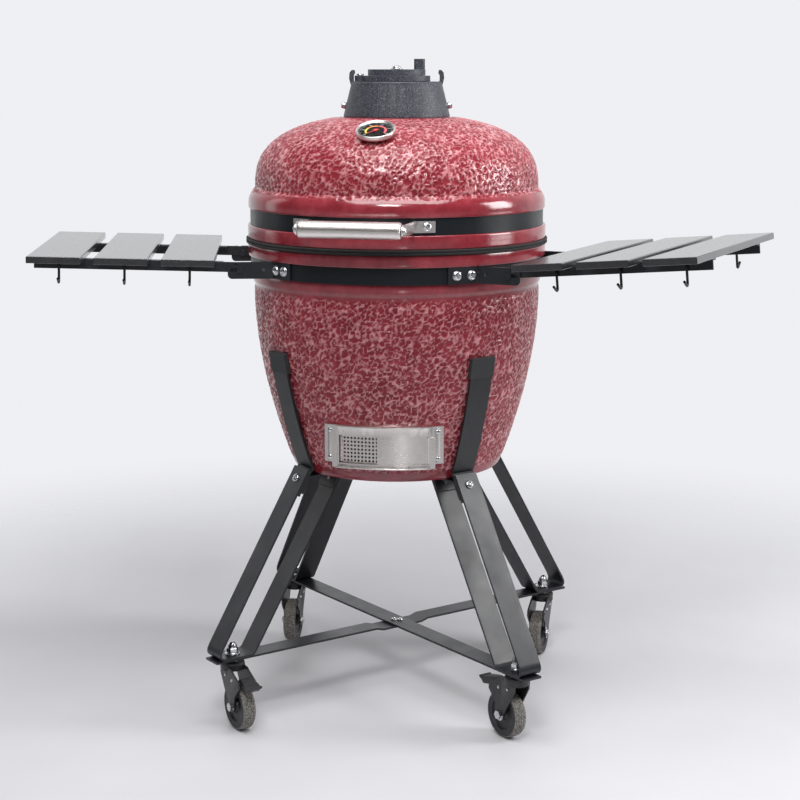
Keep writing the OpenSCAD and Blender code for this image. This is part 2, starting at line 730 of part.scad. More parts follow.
module fork(i) {
    plate_in = wheel_w / 2 + 2;
    axle = [caster_trail, wheel_d / 2];
    color("black") at_caster(i) difference() {
        union() {
            translate([0, 0, fork_top_z - 13.5]) cylinder(r = 22, h = 13.5);
            for (side = [-1, 1]) translate([0, side * (plate_in + 1.5), 0]) rotate([90, 0, 0])
                linear_extrude(3, center = true) union() {
                    polygon([[-16, fork_top_z - 6], [-15, fork_top_z - 22], [axle[0] - 11, axle[1]],
                        [axle[0] + 11, axle[1]], [axle[0] + 14, axle[1] + 22],
                        [pedal_pin[0] + 6, pedal_pin[1] - 6], [pedal_pin[0] + 6, pedal_pin[1] + 6],
                        [26, fork_top_z - 6]]);
                    translate(axle) circle(r = 11);
                }
            for (side = [-1, 1]) translate([-14, side * (plate_in + 1.5) - 1.5, fork_top_z - 13.5])
                cube([30, 3, 13]);
            translate([-10, -plate_in - 1, fork_top_z - 13.5]) cube([24, 2 * plate_in + 2, 4]);
        }
        translate([0, 0, fork_top_z - 20]) cylinder(r = 5.06, h = 30);
        translate([0, 0, fork_top_z - 20]) cylinder(r = 9.5, h = 10.3);
        for (p = [[axle, 5.02], [pedal_pin, 3.05]]) translate([p[0][0], 0, p[0][1]])
            rotate([90, 0, 0]) cylinder(r = p[1], h = 60, center = true);
    }
    color("silver") at_caster(i) translate([axle[0], 0, axle[1]]) rotate([90, 0, 0]) {
        cylinder(r = 5, h = 2 * plate_in + 8, center = true);
        for (side = [-1, 1]) translate([0, 0, side * (plate_in + 5.6)])
            cylinder(r = 8.5, h = 5, center = true, $fn = 6);
    }
}

module on_axle(i) {
    at_caster(i) translate([caster_trail, 0, wheel_d / 2]) rotate([90, 0, 0]) children();
}

module tyre(i) {
    r = wheel_d / 2;
    h = wheel_w / 2;
    color("gray") on_axle(i) rotate_extrude() polygon([[r - 9, -h + 1], [r - 4, -h],
        [r - 1, -h + 3], [r, -h + 7], [r, h - 7], [r - 1, h - 3], [r - 4, h], [r - 9, h - 1]]);
}

module hub(i) {
    r = wheel_d / 2 - 9.1;
    h = wheel_w / 2;
    color("black") on_axle(i) difference() {
        rotate_extrude() polygon([[0, -h], [11, -h], [13, -h + 3.5], [r - 4, -h + 3.5],
            [r, -h + 1], [r, h - 1], [r - 4, h - 3.5], [13, h - 3.5], [11, h], [0, h]]);
        cylinder(r = 5.05, h = 60, center = true);
    }
}

// A ribbed foot lever on two side arms, swinging about a pin behind the wheel
module brake_pedal(i) {
    x = pedal_pin[0];
    z = pedal_pin[1];
    half = wheel_w / 2 - 0.5;
    color("black") at_caster(i) {
        translate([x, 0, z]) rotate([90, 0, 0]) cylinder(r = 3, h = wheel_w + 10, center = true);
        translate([x, 0, z]) rotate([90, 0, 0]) cylinder(r = 6, h = 2 * half, center = true);
        rotate([90, 0, 0]) linear_extrude(2 * half, center = true) polygon([[x - 5, z],
            [x - 5, z + 10], [x + 4, z + 12.5], [x + 36, z + 6], [x + 40, z + 8], [x + 43, z + 7],
            [x + 41, z + 3], [x + 36, z + 1], [x + 30, z - 5], [x + 18, z - 3], [x + 8, z]]);
        for (s = [0:4]) translate([x + 10 + 5 * s, -half, z + 10.1 - 1.02 * s]) rotate([0, 11.5, 0])
            cube([2, 2 * half, 1.8]);
    }
}

// ---- Shelves ----

// Shelf side: +X outwards, +Y back, standing at the grill's axis; the left is mirrored
module shelf_side(left) {
    mirror([left ? 1 : 0, 0, 0])
        rotate([0, 0, left ? -shelf_sweep_left : -shelf_sweep_right]) children();
}

// The shelf's own frame: its origin on the fold pin, tilted with the shelf
module shelf_frame(left) {
    shelf_side(left) translate([shelf_pin[0], 0, shelf_pin[1]])
        rotate([0, left ? -shelf_tilt_left : -shelf_tilt_right, 0]) children();
}

// Outline of a bracket's arm: rounded at its outer end, with a notch in its top edge
function arm_outline(l, h, r, notch_from, notch_to, notch_d) = concat([[0, 0]],
    [for (a = [-90:15:0]) [l - r + r * cos(a), r + r * sin(a)]],
    [for (a = [0:15:90]) [l - r + r * cos(a), h - r + r * sin(a)]],
    [[notch_to, h], [notch_to, h - notch_d], [notch_from, h - notch_d], [notch_from, h], [0, h]]);

module shelf_brackets() {
    start = 226;
    color("black") difference() {
        for (left = [false, true], back = [0, 1]) shelf_side(left) mirror([0, back, 0]) {
            rotate([0, 0, left ? -43 : -44.7]) rotate_extrude(angle = 13.8)
                translate([band_r - 1, lower_band_z]) square([bracket_t + 1.2, band_h]);
            translate([start, -bracket_v, lower_band_z]) rotate([90, 0, 0])
                linear_extrude(bracket_t) polygon(arm_outline(shelf_pin[0] + 22 - start, band_h, 8,
                    shelf_pin[0] - start + 3, shelf_pin[0] - start + 10, 5));
        }
        translate([0, 0, lower_band_z - 50]) cylinder(r = band_r + 0.2, h = 200);
        bracket_bolts() translate([0, 0, -20]) cylinder(r = 3.1, h = 40);
        for (left = [false, true]) shelf_side(left) translate([shelf_pin[0], 0, shelf_pin[1]]) {
            for (x = [-42, 0, 14]) translate([x, 0, 0]) rotate([90, 0, 0])
                cylinder(r = 3.05, h = 400, center = true);
            translate([0, -200, -3]) cube([14, 400, 6]);
        }
    }
}

// Two angle bars with the fold pins through their inner ends
module shelf_rails(left) {
    rail_end = slat_start + 2 * slat_pitch + slat_w - 2 - shelf_pin[0];
    color("black") shelf_frame(left) for (back = [0, 1]) mirror([0, back, 0])
        translate([0, -rail_v, 0]) {
            translate([-16, -rail_t, slat_low - rail_h]) cube([rail_end + 16, rail_t, rail_h]);
            translate([30, 0, slat_low - rail_t]) cube([rail_end - 30, 14, rail_t]);
            rotate([90, 0, 0]) translate([0, 0, -2]) cylinder(r = 3, h = rail_t + bracket_t + 5);
            rotate([90, 0, 0]) translate([0, 0, -3]) cylinder(r = 6, h = 3);
            rotate([90, 0, 0]) translate([0, 0, rail_t + bracket_t + 2 * gap])
                cylinder(r = 6, h = 2.5);
        }
}

module shelf_slats(left) {
    color("dimgray") shelf_frame(left) for (k = [0:2])
        translate([slat_start + slat_pitch * k - shelf_pin[0], -slat_l / 2, slat_low])
            rotate([-90, 0, 0]) linear_extrude(slat_l) polygon([[0, 0], [slat_w, 0],
                [slat_w, 1.5 - slat_t], [slat_w - 1.5, -slat_t], [1.5, -slat_t],
                [0, 1.5 - slat_t]]);
}

// Bent wire hooks hanging from both rails, one under each slat's middle
module shelf_hooks(left) {
    wire = 2.4;
    drop = 24;
    color("black") shelf_frame(left) for (k = [0:2], back = [0, 1]) mirror([0, back, 0])
        translate([slat_start + slat_w / 2 + slat_pitch * k - shelf_pin[0],
            -rail_v - rail_t - wire, slat_low - rail_h + 8]) {
            translate([0, 0, -drop - 8]) cylinder(r = wire, h = drop + 8, $fn = 24);
            translate([0, 0, -drop - 8]) sphere(r = wire, $fn = 24);
            translate([0, 0, -drop - 8]) rotate([58, 0, 0]) {
                cylinder(r = wire, h = 20, $fn = 24);
                translate([0, 0, 20]) sphere(r = wire, $fn = 24);
            }
            rotate([-90, 0, 0]) cylinder(r = wire, h = wire, $fn = 24);
        }
}

base_bowl();
fire_box();
fire_ring();
charcoal_grate();
cooking_grid();
lower_gasket();
lower_band();
base_bolts();
hinge_bracket();
hinge_pin();
hinge_springs();
draft_frame();
draft_screen();
draft_door();
lid_dome();
upper_gasket();
upper_band();
hinge_arm();
handle_brackets();
handle_grip();
lid_bolts();
thermometer_case();
thermometer_dial();
thermometer_needle();
thermometer_lens();
vent_base();
vent_plate();
vent_wheel();
vent_wheel_screw();
leg(0);  // leg_fl
leg(1);  // leg_fr
leg(2);  // leg_bl
leg(3);  // leg_br
cradles();
cradle_pads();
brace_bars();
cart_bolts();
caster_stems();
fork(0);  // fork_fl
fork(1);  // fork_fr
fork(2);  // fork_bl
fork(3);  // fork_br
tyre(0);  // tyre_fl
tyre(1);  // tyre_fr
tyre(2);  // tyre_bl
tyre(3);  // tyre_br
hub(0);  // hub_fl
hub(1);  // hub_fr
hub(2);  // hub_bl
hub(3);  // hub_br
brake_pedal(0);  // brake_pedal_fl
brake_pedal(1);  // brake_pedal_fr
shelf_brackets();
shelf_rails(true);  // shelf_left_rails
shelf_slats(true);  // shelf_left_slats
shelf_hooks(true);  // shelf_left_hooks
shelf_rails(false);  // shelf_right_rails
shelf_slats(false);  // shelf_right_slats
shelf_hooks(false);  // shelf_right_hooks
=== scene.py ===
import bpy
import bmesh
import math
import numpy as np
from mathutils import Matrix, Vector, noise


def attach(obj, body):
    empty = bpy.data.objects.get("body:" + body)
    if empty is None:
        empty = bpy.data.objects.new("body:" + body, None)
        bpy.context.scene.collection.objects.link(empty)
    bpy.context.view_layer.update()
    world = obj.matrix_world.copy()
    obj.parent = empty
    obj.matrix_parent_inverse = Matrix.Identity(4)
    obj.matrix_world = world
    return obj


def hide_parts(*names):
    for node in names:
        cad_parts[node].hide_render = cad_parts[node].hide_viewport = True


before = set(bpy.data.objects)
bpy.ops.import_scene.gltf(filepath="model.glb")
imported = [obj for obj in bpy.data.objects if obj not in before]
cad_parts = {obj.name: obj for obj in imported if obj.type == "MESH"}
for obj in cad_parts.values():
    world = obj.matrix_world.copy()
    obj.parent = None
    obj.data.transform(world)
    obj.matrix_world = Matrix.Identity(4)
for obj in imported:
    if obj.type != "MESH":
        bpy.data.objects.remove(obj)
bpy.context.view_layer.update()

# ---- Studio ----
# A pale floor that fades into a bright white room, with a soft box overhead,
# a soft box at each side, a smaller one high in front and a low strip.
scene = bpy.context.scene
scene.view_settings.view_transform = "Standard"

camera = bpy.data.objects.new("camera", bpy.data.cameras.new("camera"))
scene.collection.objects.link(camera)
camera.data.sensor_width = 36
camera.data.lens = 79.4
camera.location = (0.5508, -3.2544, 1.185)
camera.rotation_euler = Vector((-0.16222, 0.96937, -0.18447)).to_track_quat("-Z", "Y").to_euler()
scene.camera = camera


def add_node(tree, kind, sockets=None, **settings):
    """A shader node with its sockets and settings filled in."""
    made = tree.nodes.new("ShaderNode" + kind)
    for key, value in settings.items():
        setattr(made, key, value)
    for key, value in (sockets or {}).items():
        made.inputs[key].default_value = value
    return made


room = bpy.data.worlds.new("room")
scene.world = room
room.use_nodes = True
sky = room.node_tree
sky.nodes.clear()
direction = add_node(sky, "TexCoord")
split = add_node(sky, "SeparateXYZ")
behind = add_node(sky, "MapRange", {"From Min": 0.1, "From Max": 0.7, "To Min": 0.05, "To Max": 0.95})
below = add_node(sky, "MapRange", {"From Min": 0.02, "From Max": -0.12, "To Min": 0.0, "To Max": 0.4})
either = add_node(sky, "Math", operation="MAXIMUM")
lit = add_node(sky, "Background", {"Color": (0.97, 0.98, 1, 1)})
seen = add_node(sky, "Background", {"Color": (0.865, 0.868, 0.9, 1)})
ray = add_node(sky, "LightPath")
choose = add_node(sky, "MixShader")
world_out = add_node(sky, "OutputWorld")
sky.links.new(direction.outputs["Generated"], split.inputs[0])
sky.links.new(split.outputs["Y"], behind.inputs["Value"])
sky.links.new(split.outputs["Z"], below.inputs["Value"])
sky.links.new(behind.outputs["Result"], either.inputs[0])
sky.links.new(below.outputs["Result"], either.inputs[1])
sky.links.new(either.outputs[0], lit.inputs["Strength"])
sky.links.new(ray.outputs["Is Camera Ray"], choose.inputs[0])
sky.links.new(lit.outputs[0], choose.inputs[1])
sky.links.new(seen.outputs[0], choose.inputs[2])
sky.links.new(choose.outputs[0], world_out.inputs[0])

for name, place, aim, size, power in [
    ("overhead", (0.15, -0.8, 2.9), (0, 0, 0.9), (2.2, 1.5), 56),
    ("left_box", (-2.5, 0.35, 1.5), (0, 0, 0.8), (0.6, 1.8), 4),
    ("right_box", (2.35, 0.1, 1.6), (0, 0, 0.6), (0.9, 1.3), 38),
    ("front_box", (0.15, -2.7, 3.1), (0, 0, 0.8), (0.8, 0.6), 44),
    ("low_strip", (0.72, -2.9, 0.14), (0, 0, 0.5), (0.22, 0.4), 0.9),
]:
    soft_box = bpy.data.lights.new(name, "AREA")
    soft_box.shape = "RECTANGLE"
    soft_box.size, soft_box.size_y = size
    soft_box.energy = power
    lamp = bpy.data.objects.new(name, soft_box)
    scene.collection.objects.link(lamp)
    lamp.location = place
    lamp.rotation_euler = (Vector(aim) - Vector(place)).to_track_quat("-Z", "Y").to_euler()

floor_mesh = bpy.data.meshes.new("floor")
ground = bmesh.new()
bmesh.ops.create_circle(ground, cap_ends=True, radius=3.2, segments=96)
ground.to_mesh(floor_mesh)
ground.free()
floor = bpy.data.objects.new("floor", floor_mesh)
scene.collection.objects.link(floor)
paper = bpy.data.materials.new("pale_floor")
paper.use_nodes = True
tree = paper.node_tree
sheen = tree.nodes["Principled BSDF"]
sheen.inputs["Roughness"].default_value = 0.6
place = add_node(tree, "TexCoord")
reach = add_node(tree, "VectorMath", operation="LENGTH")
fade = add_node(tree, "MapRange", {"From Min": 0.75, "From Max": 2.2}, interpolation_type="SMOOTHSTEP")
mottle = add_node(tree, "TexNoise", {"Scale": 3.0, "Detail": 3.0})
tint = add_node(tree, "ValToRGB")
tint.color_ramp.elements[0].color = (0.60, 0.60, 0.625, 1)
tint.color_ramp.elements[1].color = (0.70, 0.70, 0.725, 1)
clear = add_node(tree, "BsdfTransparent")
blend = add_node(tree, "MixShader")
tree.links.new(place.outputs["Object"], reach.inputs[0])
tree.links.new(reach.outputs["Value"], fade.inputs["Value"])
tree.links.new(place.outputs["Object"], mottle.inputs["Vector"])
tree.links.new(mottle.outputs["Fac"], tint.inputs["Fac"])
tree.links.new(tint.outputs["Color"], sheen.inputs["Base Color"])
tree.links.new(fade.outputs["Result"], blend.inputs[0])
tree.links.new(sheen.outputs[0], blend.inputs[1])
tree.links.new(clear.outputs[0], blend.inputs[2])
tree.links.new(blend.outputs[0], tree.nodes["Material Output"].inputs["Surface"])
floor_mesh.materials.append(paper)

# ---- Caster wheels: tyres ----
# Grey rubber treads moulded round the wheels, worn rough and dusty by rolling,
# with flat black side walls.


def finish(name, metallic=0.0, roughness=0.5, colour=(0.5, 0.5, 0.5), **sockets):
    """A new material, its node tree and its shader, with the plain values set on the shader."""
    made = bpy.data.materials.new(name)
    made.use_nodes = True
    shader = made.node_tree.nodes["Principled BSDF"]
    shader.inputs["Metallic"].default_value = metallic
    shader.inputs["Roughness"].default_value = roughness
    shader.inputs["Base Color"].default_value = (*colour, 1)
    for key, value in sockets.items():
        shader.inputs[key.replace("_", " ")].default_value = value
    return made, made.node_tree, shader


def ramp(tree, source, socket, stops):
    """Feeds a socket from a value through stops of (position, grey or colour)."""
    made = add_node(tree, "ValToRGB")
    bar = made.color_ramp
    while len(bar.elements) < len(stops):
        bar.elements.new(0.5)
    for stop, (at, shade) in zip(bar.elements, stops):
        stop.position = at
        stop.color = (*shade, 1) if isinstance(shade, tuple) else (shade, shade, shade, 1)
    tree.links.new(source, made.inputs["Fac"])
    tree.links.new(made.outputs["Color"], socket)
    return made


def grain(tree, scale, stretch=(1, 1, 1), detail=4.0, kind="TexNoise", rough=0.55, twist=0.0):
    """A noise in the object's own metres, drawn out along the axes given."""
    where = add_node(tree, "TexCoord")
    scaled = add_node(tree, "Mapping")
    scaled.inputs["Scale"].default_value = stretch
    made = add_node(tree, kind, {"Scale": scale})
    if kind == "TexNoise":
        made.inputs["Detail"].default_value = detail
        made.inputs["Roughness"].default_value = rough
        made.inputs["Distortion"].default_value = twist
    tree.links.new(where.outputs["Object"], scaled.inputs["Vector"])
    tree.links.new(scaled.outputs["Vector"], made.inputs["Vector"])
    return made


def bumped(tree, shader, source, depth, strength=0.5, under=None):
    """Adds a bump of that depth in metres to the shader."""
    made = add_node(tree, "Bump", {"Strength": strength, "Distance": depth})
    tree.links.new(source, made.inputs["Height"])
    if under is not None:
        tree.links.new(under.outputs["Normal"], made.inputs["Normal"])
    tree.links.new(made.outputs["Normal"], shader.inputs["Normal"])
    return made


def turned(profile, steps, start=0.0, sweep=360.0):
    """Points and faces of a profile of (radius, height) turned about the z axis, from the front to the right."""
    closed = sweep > 359.9
    angles = np.radians(start + np.arange(steps + (0 if closed else 1)) * sweep / steps)
    profile = np.array(profile, float)
    x = profile[:, :1] * np.sin(angles)
    y = -profile[:, :1] * np.cos(angles)
    z = np.broadcast_to(profile[:, 1:], x.shape)
    points = np.stack([x, y, z], -1).reshape(-1, 3)
    n = len(angles)
    faces = [(i * n + j, i * n + (j + 1) % n, (i + 1) * n + (j + 1) % n, (i + 1) * n + j)
             for i in range(len(profile) - 1) for j in range(n if closed else n - 1)]
    return points, faces


def piece(name, points, faces, coat, body, stands_for=(), place=None, smooth=35, round_by=0, weld=2e-6):
    """A piece made of points and faces in metres, put in place, smoothed, and riding on its body."""
    mesh = bpy.data.meshes.new(name)
    mesh.from_pydata([tuple(p) for p in points], [], [tuple(f) for f in faces])
    work = bmesh.new()
    work.from_mesh(mesh)
    bmesh.ops.remove_doubles(work, verts=work.verts, dist=weld)
    bmesh.ops.dissolve_degenerate(work, edges=work.edges, dist=weld / 2)
    bmesh.ops.recalc_face_normals(work, faces=work.faces)
    work.to_mesh(mesh)
    work.free()
    if place is not None:
        mesh.transform(place)
    return finished(name, mesh, coat, body, stands_for, smooth, round_by)


def finished(name, mesh, coat, body, stands_for=(), smooth=35, round_by=0):
    made = bpy.data.objects.new(name, mesh)
    scene.collection.objects.link(made)
    for one in coat if isinstance(coat, (list, tuple)) else [coat]:
        mesh.materials.append(one)
    mesh.shade_smooth()
    mesh.set_sharp_from_angle(angle=math.radians(smooth))
    if round_by:
        edge = made.modifiers.new("rounded edges", "BEVEL")
        edge.width = round_by
        edge.segments = 2
        edge.limit_method = "ANGLE"
        edge.angle_limit = math.radians(40)
        edge.harden_normals = True
    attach(made, body)
    if stands_for:
        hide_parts(*([stands_for] if isinstance(stands_for, str) else stands_for))
    return made


stem_off, wheel_trail = 0.261, 0.028
wheel_r, wheel_half = 0.044, 0.0125
caster_at = {}
for corner, x, y, trail in [("fl", -stem_off, -stem_off, -49.5), ("fr", stem_off, -stem_off, 133.5),
                            ("bl", -stem_off, stem_off, -90), ("br", stem_off, stem_off, -98)]:
    caster_at[corner] = Matrix.Translation((x, y, 0)) @ Matrix.Rotation(math.radians(trail), 4, "Z")
axle_at = {corner: spot @ Matrix.Translation((wheel_trail, 0, wheel_r)) @ Matrix.Rotation(math.radians(90), 4, "X")
           for corner, spot in caster_at.items()}

tread_rubber, tree, shader = finish("worn_grey_rubber", roughness=0.85, colour=(0.16, 0.155, 0.145))
dust = grain(tree, 420, detail=6, rough=0.75)
ramp(tree, dust.outputs["Fac"], shader.inputs["Base Color"],
     [(0.38, (0.045, 0.044, 0.043)), (0.5, (0.19, 0.18, 0.165)), (0.66, (0.5, 0.47, 0.43))])
bumped(tree, shader, dust.outputs["Fac"], 0.0012, 0.9)
wall_rubber, tree, shader = finish("side_wall_rubber", roughness=0.6, colour=(0.03, 0.03, 0.032))
scuff = grain(tree, 160, detail=5, rough=0.7)
ramp(tree, scuff.outputs["Fac"], shader.inputs["Base Color"],
     [(0.35, (0.02, 0.02, 0.022)), (0.62, (0.045, 0.045, 0.048)), (0.78, (0.16, 0.155, 0.15))])
ramp(tree, scuff.outputs["Fac"], shader.inputs["Roughness"], [(0.3, 0.45), (0.8, 0.8)])
bumped(tree, shader, scuff.outputs["Fac"], 0.0003, 0.5)

tyre_profile = [(wheel_r - 0.009, -wheel_half + 0.001), (wheel_r - 0.006, -wheel_half + 0.0003),
                (wheel_r - 0.0035, -wheel_half + 0.0002), (wheel_r - 0.0018, -wheel_half + 0.0014),
                (wheel_r - 0.0005, -wheel_half + 0.004)]
for groove in (-0.0056, -0.0008, 0.004):
    tyre_profile += [(wheel_r - 0.0001, groove - 0.0008), (wheel_r - 0.0008, groove - 0.0003),
                     (wheel_r - 0.0008, groove + 0.0003), (wheel_r - 0.0001, groove + 0.0008)]
tyre_profile += [(wheel_r - 0.0005, wheel_half - 0.004), (wheel_r - 0.0018, wheel_half - 0.0014),
                 (wheel_r - 0.0035, wheel_half - 0.0002), (wheel_r - 0.006, wheel_half - 0.0003),
                 (wheel_r - 0.009, wheel_half - 0.001), (wheel_r - 0.009, -wheel_half + 0.001)]
for corner, spot in axle_at.items():
    points, faces = turned(tyre_profile, 120)
    for p in points:
        reach = math.hypot(p[0], p[1])
        if reach > wheel_r - 0.0014:
            wear = 0.00025 * noise.noise(Vector(p) * 900) - 0.0003
            p[0] *= 1 + wear / reach
            p[1] *= 1 + wear / reach
    tyre = piece("tyre_" + corner, points, faces, [wall_rubber, tread_rubber], "wheel_" + corner,
                 "tyre_" + corner, spot, smooth=50)
    inward = spot.inverted()
    for face in tyre.data.polygons:
        middle = inward @ face.center
        face.material_index = int(math.hypot(middle.x, middle.y) > wheel_r - 0.0028)

# ---- Caster wheels: hubs ----
# Black moulded hubs with a deep ring between the rim and the boss, pressed
# into the tyres and bored for the axle bolt.
hub_plastic, tree, shader = finish("hub_plastic", roughness=0.42, colour=(0.018, 0.018, 0.02))
mould = grain(tree, 260, detail=3)
ramp(tree, mould.outputs["Fac"], shader.inputs["Roughness"], [(0.3, 0.34), (0.7, 0.55)])
ramp(tree, mould.outputs["Fac"], shader.inputs["Base Color"],
     [(0.3, (0.013, 0.013, 0.015)), (0.7, (0.028, 0.028, 0.03))])
bumped(tree, shader, mould.outputs["Fac"], 0.0002, 0.4)
rim = wheel_r - 0.0092
hub_side = [(0.0051, 0.0125), (0.0104, 0.0125), (0.0112, 0.0117), (0.0126, 0.0084), (0.0138, 0.0078),
            (rim - 0.0075, 0.0078), (rim - 0.006, 0.0084), (rim - 0.0048, 0.0112),
            (rim - 0.0032, 0.0114), (rim, 0.0112)]
hub_profile = hub_side + [(r, -z) for r, z in reversed(hub_side)] + [hub_side[0]]
for corner, spot in axle_at.items():
    points, faces = turned(hub_profile, 72)
    piece("hub_" + corner, points, faces, hub_plastic, "wheel_" + corner, "hub_" + corner, spot)

# ---- Caster forks ----
# Pressed black steel forks with a round race at the top, closed by riveted
# cheeks, with a zinc axle bolt and nut through each wheel.


def softened(node, name, coat, body, round_by=0.0006, dissolve=0.6, pick=None, smooth=35):
    """A CAD part's own shape with its sharp edges rounded.
    pick(centre) gives the number of each face's finish."""
    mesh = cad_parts[node].data.copy()
    mesh.materials.clear()
    work = bmesh.new()
    work.from_mesh(mesh)
    bmesh.ops.remove_doubles(work, verts=work.verts, dist=2e-6)
    bmesh.ops.dissolve_degenerate(work, edges=work.edges, dist=1e-6)
    bmesh.ops.dissolve_limit(work, angle_limit=math.radians(dissolve), verts=work.verts, edges=work.edges)
    for face in work.faces:
        face.material_index = pick(face.calc_center_median()) if pick else 0
    work.to_mesh(mesh)
    work.free()
    mesh.name = name
    return finished(name, mesh, coat, body, node, smooth, round_by)


fork_paint, tree, shader = finish("fork_paint", roughness=0.38, colour=(0.02, 0.02, 0.022))
flake = grain(tree, 300, detail=4)
chips = grain(tree, 90, detail=8, rough=0.75)
ramp(tree, flake.outputs["Fac"], shader.inputs["Roughness"], [(0.3, 0.28), (0.7, 0.48)])
ramp(tree, chips.outputs["Fac"], shader.inputs["Base Color"],
     [(0.3, (0.015, 0.015, 0.017)), (0.64, (0.028, 0.028, 0.03)), (0.74, (0.07, 0.068, 0.065))])
bumped(tree, shader, flake.outputs["Fac"], 0.0002, 0.4)

zinc_plate, tree, shader = finish("zinc_plate", metallic=1.0, roughness=0.24, colour=(0.66, 0.67, 0.69))
bloom = grain(tree, 500, detail=5)
ramp(tree, bloom.outputs["Fac"], shader.inputs["Roughness"], [(0.3, 0.16), (0.7, 0.36)])
ramp(tree, bloom.outputs["Fac"], shader.inputs["Base Color"],
     [(0.3, (0.55, 0.55, 0.56)), (0.7, (0.76, 0.77, 0.8))])
bumped(tree, shader, bloom.outputs["Fac"], 0.00008, 0.3)


def lathe_set(parts):
    """Points and faces of several turned profiles, each (profile, steps, matrix), as one mesh."""
    all_points, all_faces = [], []
    for profile, steps, spot in parts:
        points, faces = turned(profile, steps)
        faces = [tuple(i + len(all_points) for i in f) for f in faces]
        all_points += [spot @ Vector(p) for p in points]
        all_faces += faces
    return all_points, all_faces


rivet = [(0, -0.002), (0.003, -0.002), (0.003, 0.0), (0.0028, 0.0008), (0.0018, 0.0014), (0, 0.0016)]
race = [(0.0212, 0.0), (0.0221, -0.0012), (0.0224, -0.003), (0.0221, -0.0048), (0.0212, -0.006), (0.0205, -0.003),
        (0.0212, 0.0)]
for corner, spot in caster_at.items():
    inward = spot.inverted()

    def is_axle(centre, inward=inward):
        local = inward @ centre
        off = math.hypot(local.x - wheel_trail, local.z - wheel_r)
        return int(off < 0.0099 and (abs(local.y) > 0.0171 or off < 0.00525 and abs(local.y) < 0.0144))

    softened("fork_" + corner, "fork_" + corner, [fork_paint, zinc_plate], "caster_" + corner,
             pick=is_axle)
    rows = []
    for side in (-1, 1):
        for x, z in [(0.005, 0.098), (0.031, 0.095)]:
            rows.append((rivet, 20, spot @ Matrix.Translation((x, side * 0.0175, z))
                         @ Matrix.Rotation(math.radians(-90 * side), 4, "X")))
    points, faces = lathe_set(rows)
    piece("fork_rivets_" + corner, points, faces, zinc_plate, "caster_" + corner)
    points, faces = turned(race, 64)
    piece("race_lip_" + corner, points, faces, fork_paint, "caster_" + corner,
          place=spot @ Matrix.Translation((0, 0, 0.1195)))

# ---- Caster stems ----
# Threaded zinc stems with a pressed washer over the ball race, screwed up
# through the brace bars and foot plates.
stem_parts = []
for corner, spot in caster_at.items():
    stem_parts.append(([(0, 0.106), (0.0048, 0.106)]
                       + [(0.0049 - 0.0004 * (k % 2), 0.1065 + 0.0006 * k) for k in range(61)]
                       + [(0.0045, 0.1435), (0, 0.1435)], 28, spot))
    stem_parts.append(([(0.0048, 0.1204), (0.0104, 0.1204), (0.011, 0.121), (0.011, 0.125), (0.0104, 0.1256),
                        (0.0048, 0.1256), (0.0048, 0.1204)], 40, spot))
    stem_parts.append(([(0.0048, 0.1022), (0.008, 0.1022), (0.0085, 0.1028), (0.0085, 0.1054), (0.008, 0.106),
                        (0.0048, 0.106), (0.0048, 0.1022)], 32, spot))
points, faces = lathe_set(stem_parts)
piece("caster_stems", points, faces, zinc_plate, "root", "caster_stems")

# ---- Brake pedals ----
# Black moulded foot levers with raised ribs and a turned-up toe, each on a
# cross pin between the cheeks of a front fork, above the wheel.
for corner in ("fl", "fr"):
    softened("brake_pedal_" + corner, "brake_pedal_" + corner, hub_plastic, "pedal_" + corner,
             round_by=0.0005)

# ---- Cart legs ----
# Flat steel straps bent into narrow vees that run down to a foot plate,
# powder-coated black and lightly scuffed, one at each corner.
cart_coat, tree, shader = finish("cart_powder_coat", roughness=0.4, colour=(0.012, 0.013, 0.016))
peel = grain(tree, 900, detail=2)
patch = grain(tree, 14, detail=6, rough=0.7)
rub = grain(tree, 60, stretch=(1, 1, 0.25), detail=9, rough=0.8)
ramp(tree, patch.outputs["Fac"], shader.inputs["Roughness"], [(0.3, 0.3), (0.7, 0.44)])
ramp(tree, rub.outputs["Fac"], shader.inputs["Base Color"],
     [(0.3, (0.008, 0.009, 0.012)), (0.66, (0.016, 0.017, 0.021)), (0.76, (0.06, 0.06, 0.06)),
      (0.82, (0.3, 0.29, 0.28))])
bumped(tree, shader, peel.outputs["Fac"], 0.00012, 0.35)
for corner in ("fl", "fr", "bl", "br"):
    softened("leg_" + corner, "leg_" + corner, cart_coat, "root", round_by=0.0009)

# ---- Brace bars ----
# Two flat bars bolted together where they cross, clamped under the foot
# plates by the caster stems.
softened("brace_bars", "brace_bars", cart_coat, "root", round_by=0.0008)

# ---- Bowl cradles ----
# Four straps that follow the bowl down and bolt to the legs, with a seat bent
# under the bowl's edge.
softened("cradles", "cradles", cart_coat, "root", round_by=0.0009)

# ---- Cradle sleeves ----
# Soft black rubber sleeves pushed over the tops of the cradle straps, which
# keep the steel off the glaze.
sleeve_rubber, tree, shader = finish("sleeve_rubber", roughness=0.62, colour=(0.022, 0.023, 0.025))
soft = grain(tree, 240, detail=4)
ramp(tree, soft.outputs["Fac"], shader.inputs["Roughness"], [(0.3, 0.5), (0.7, 0.75)])
ramp(tree, soft.outputs["Fac"], shader.inputs["Base Color"],
     [(0.3, (0.016, 0.017, 0.019)), (0.7, (0.034, 0.035, 0.038))])
bumped(tree, shader, soft.outputs["Fac"], 0.0003, 0.4)
softened("cradle_pads", "cradle_sleeves", sleeve_rubber, "root", round_by=0.0016)

# ---- Cart bolts ----
# Zinc button bolts through the leg arms, flanged cap nuts on washers over
# the caster stems, and two bolts where the brace bars cross.


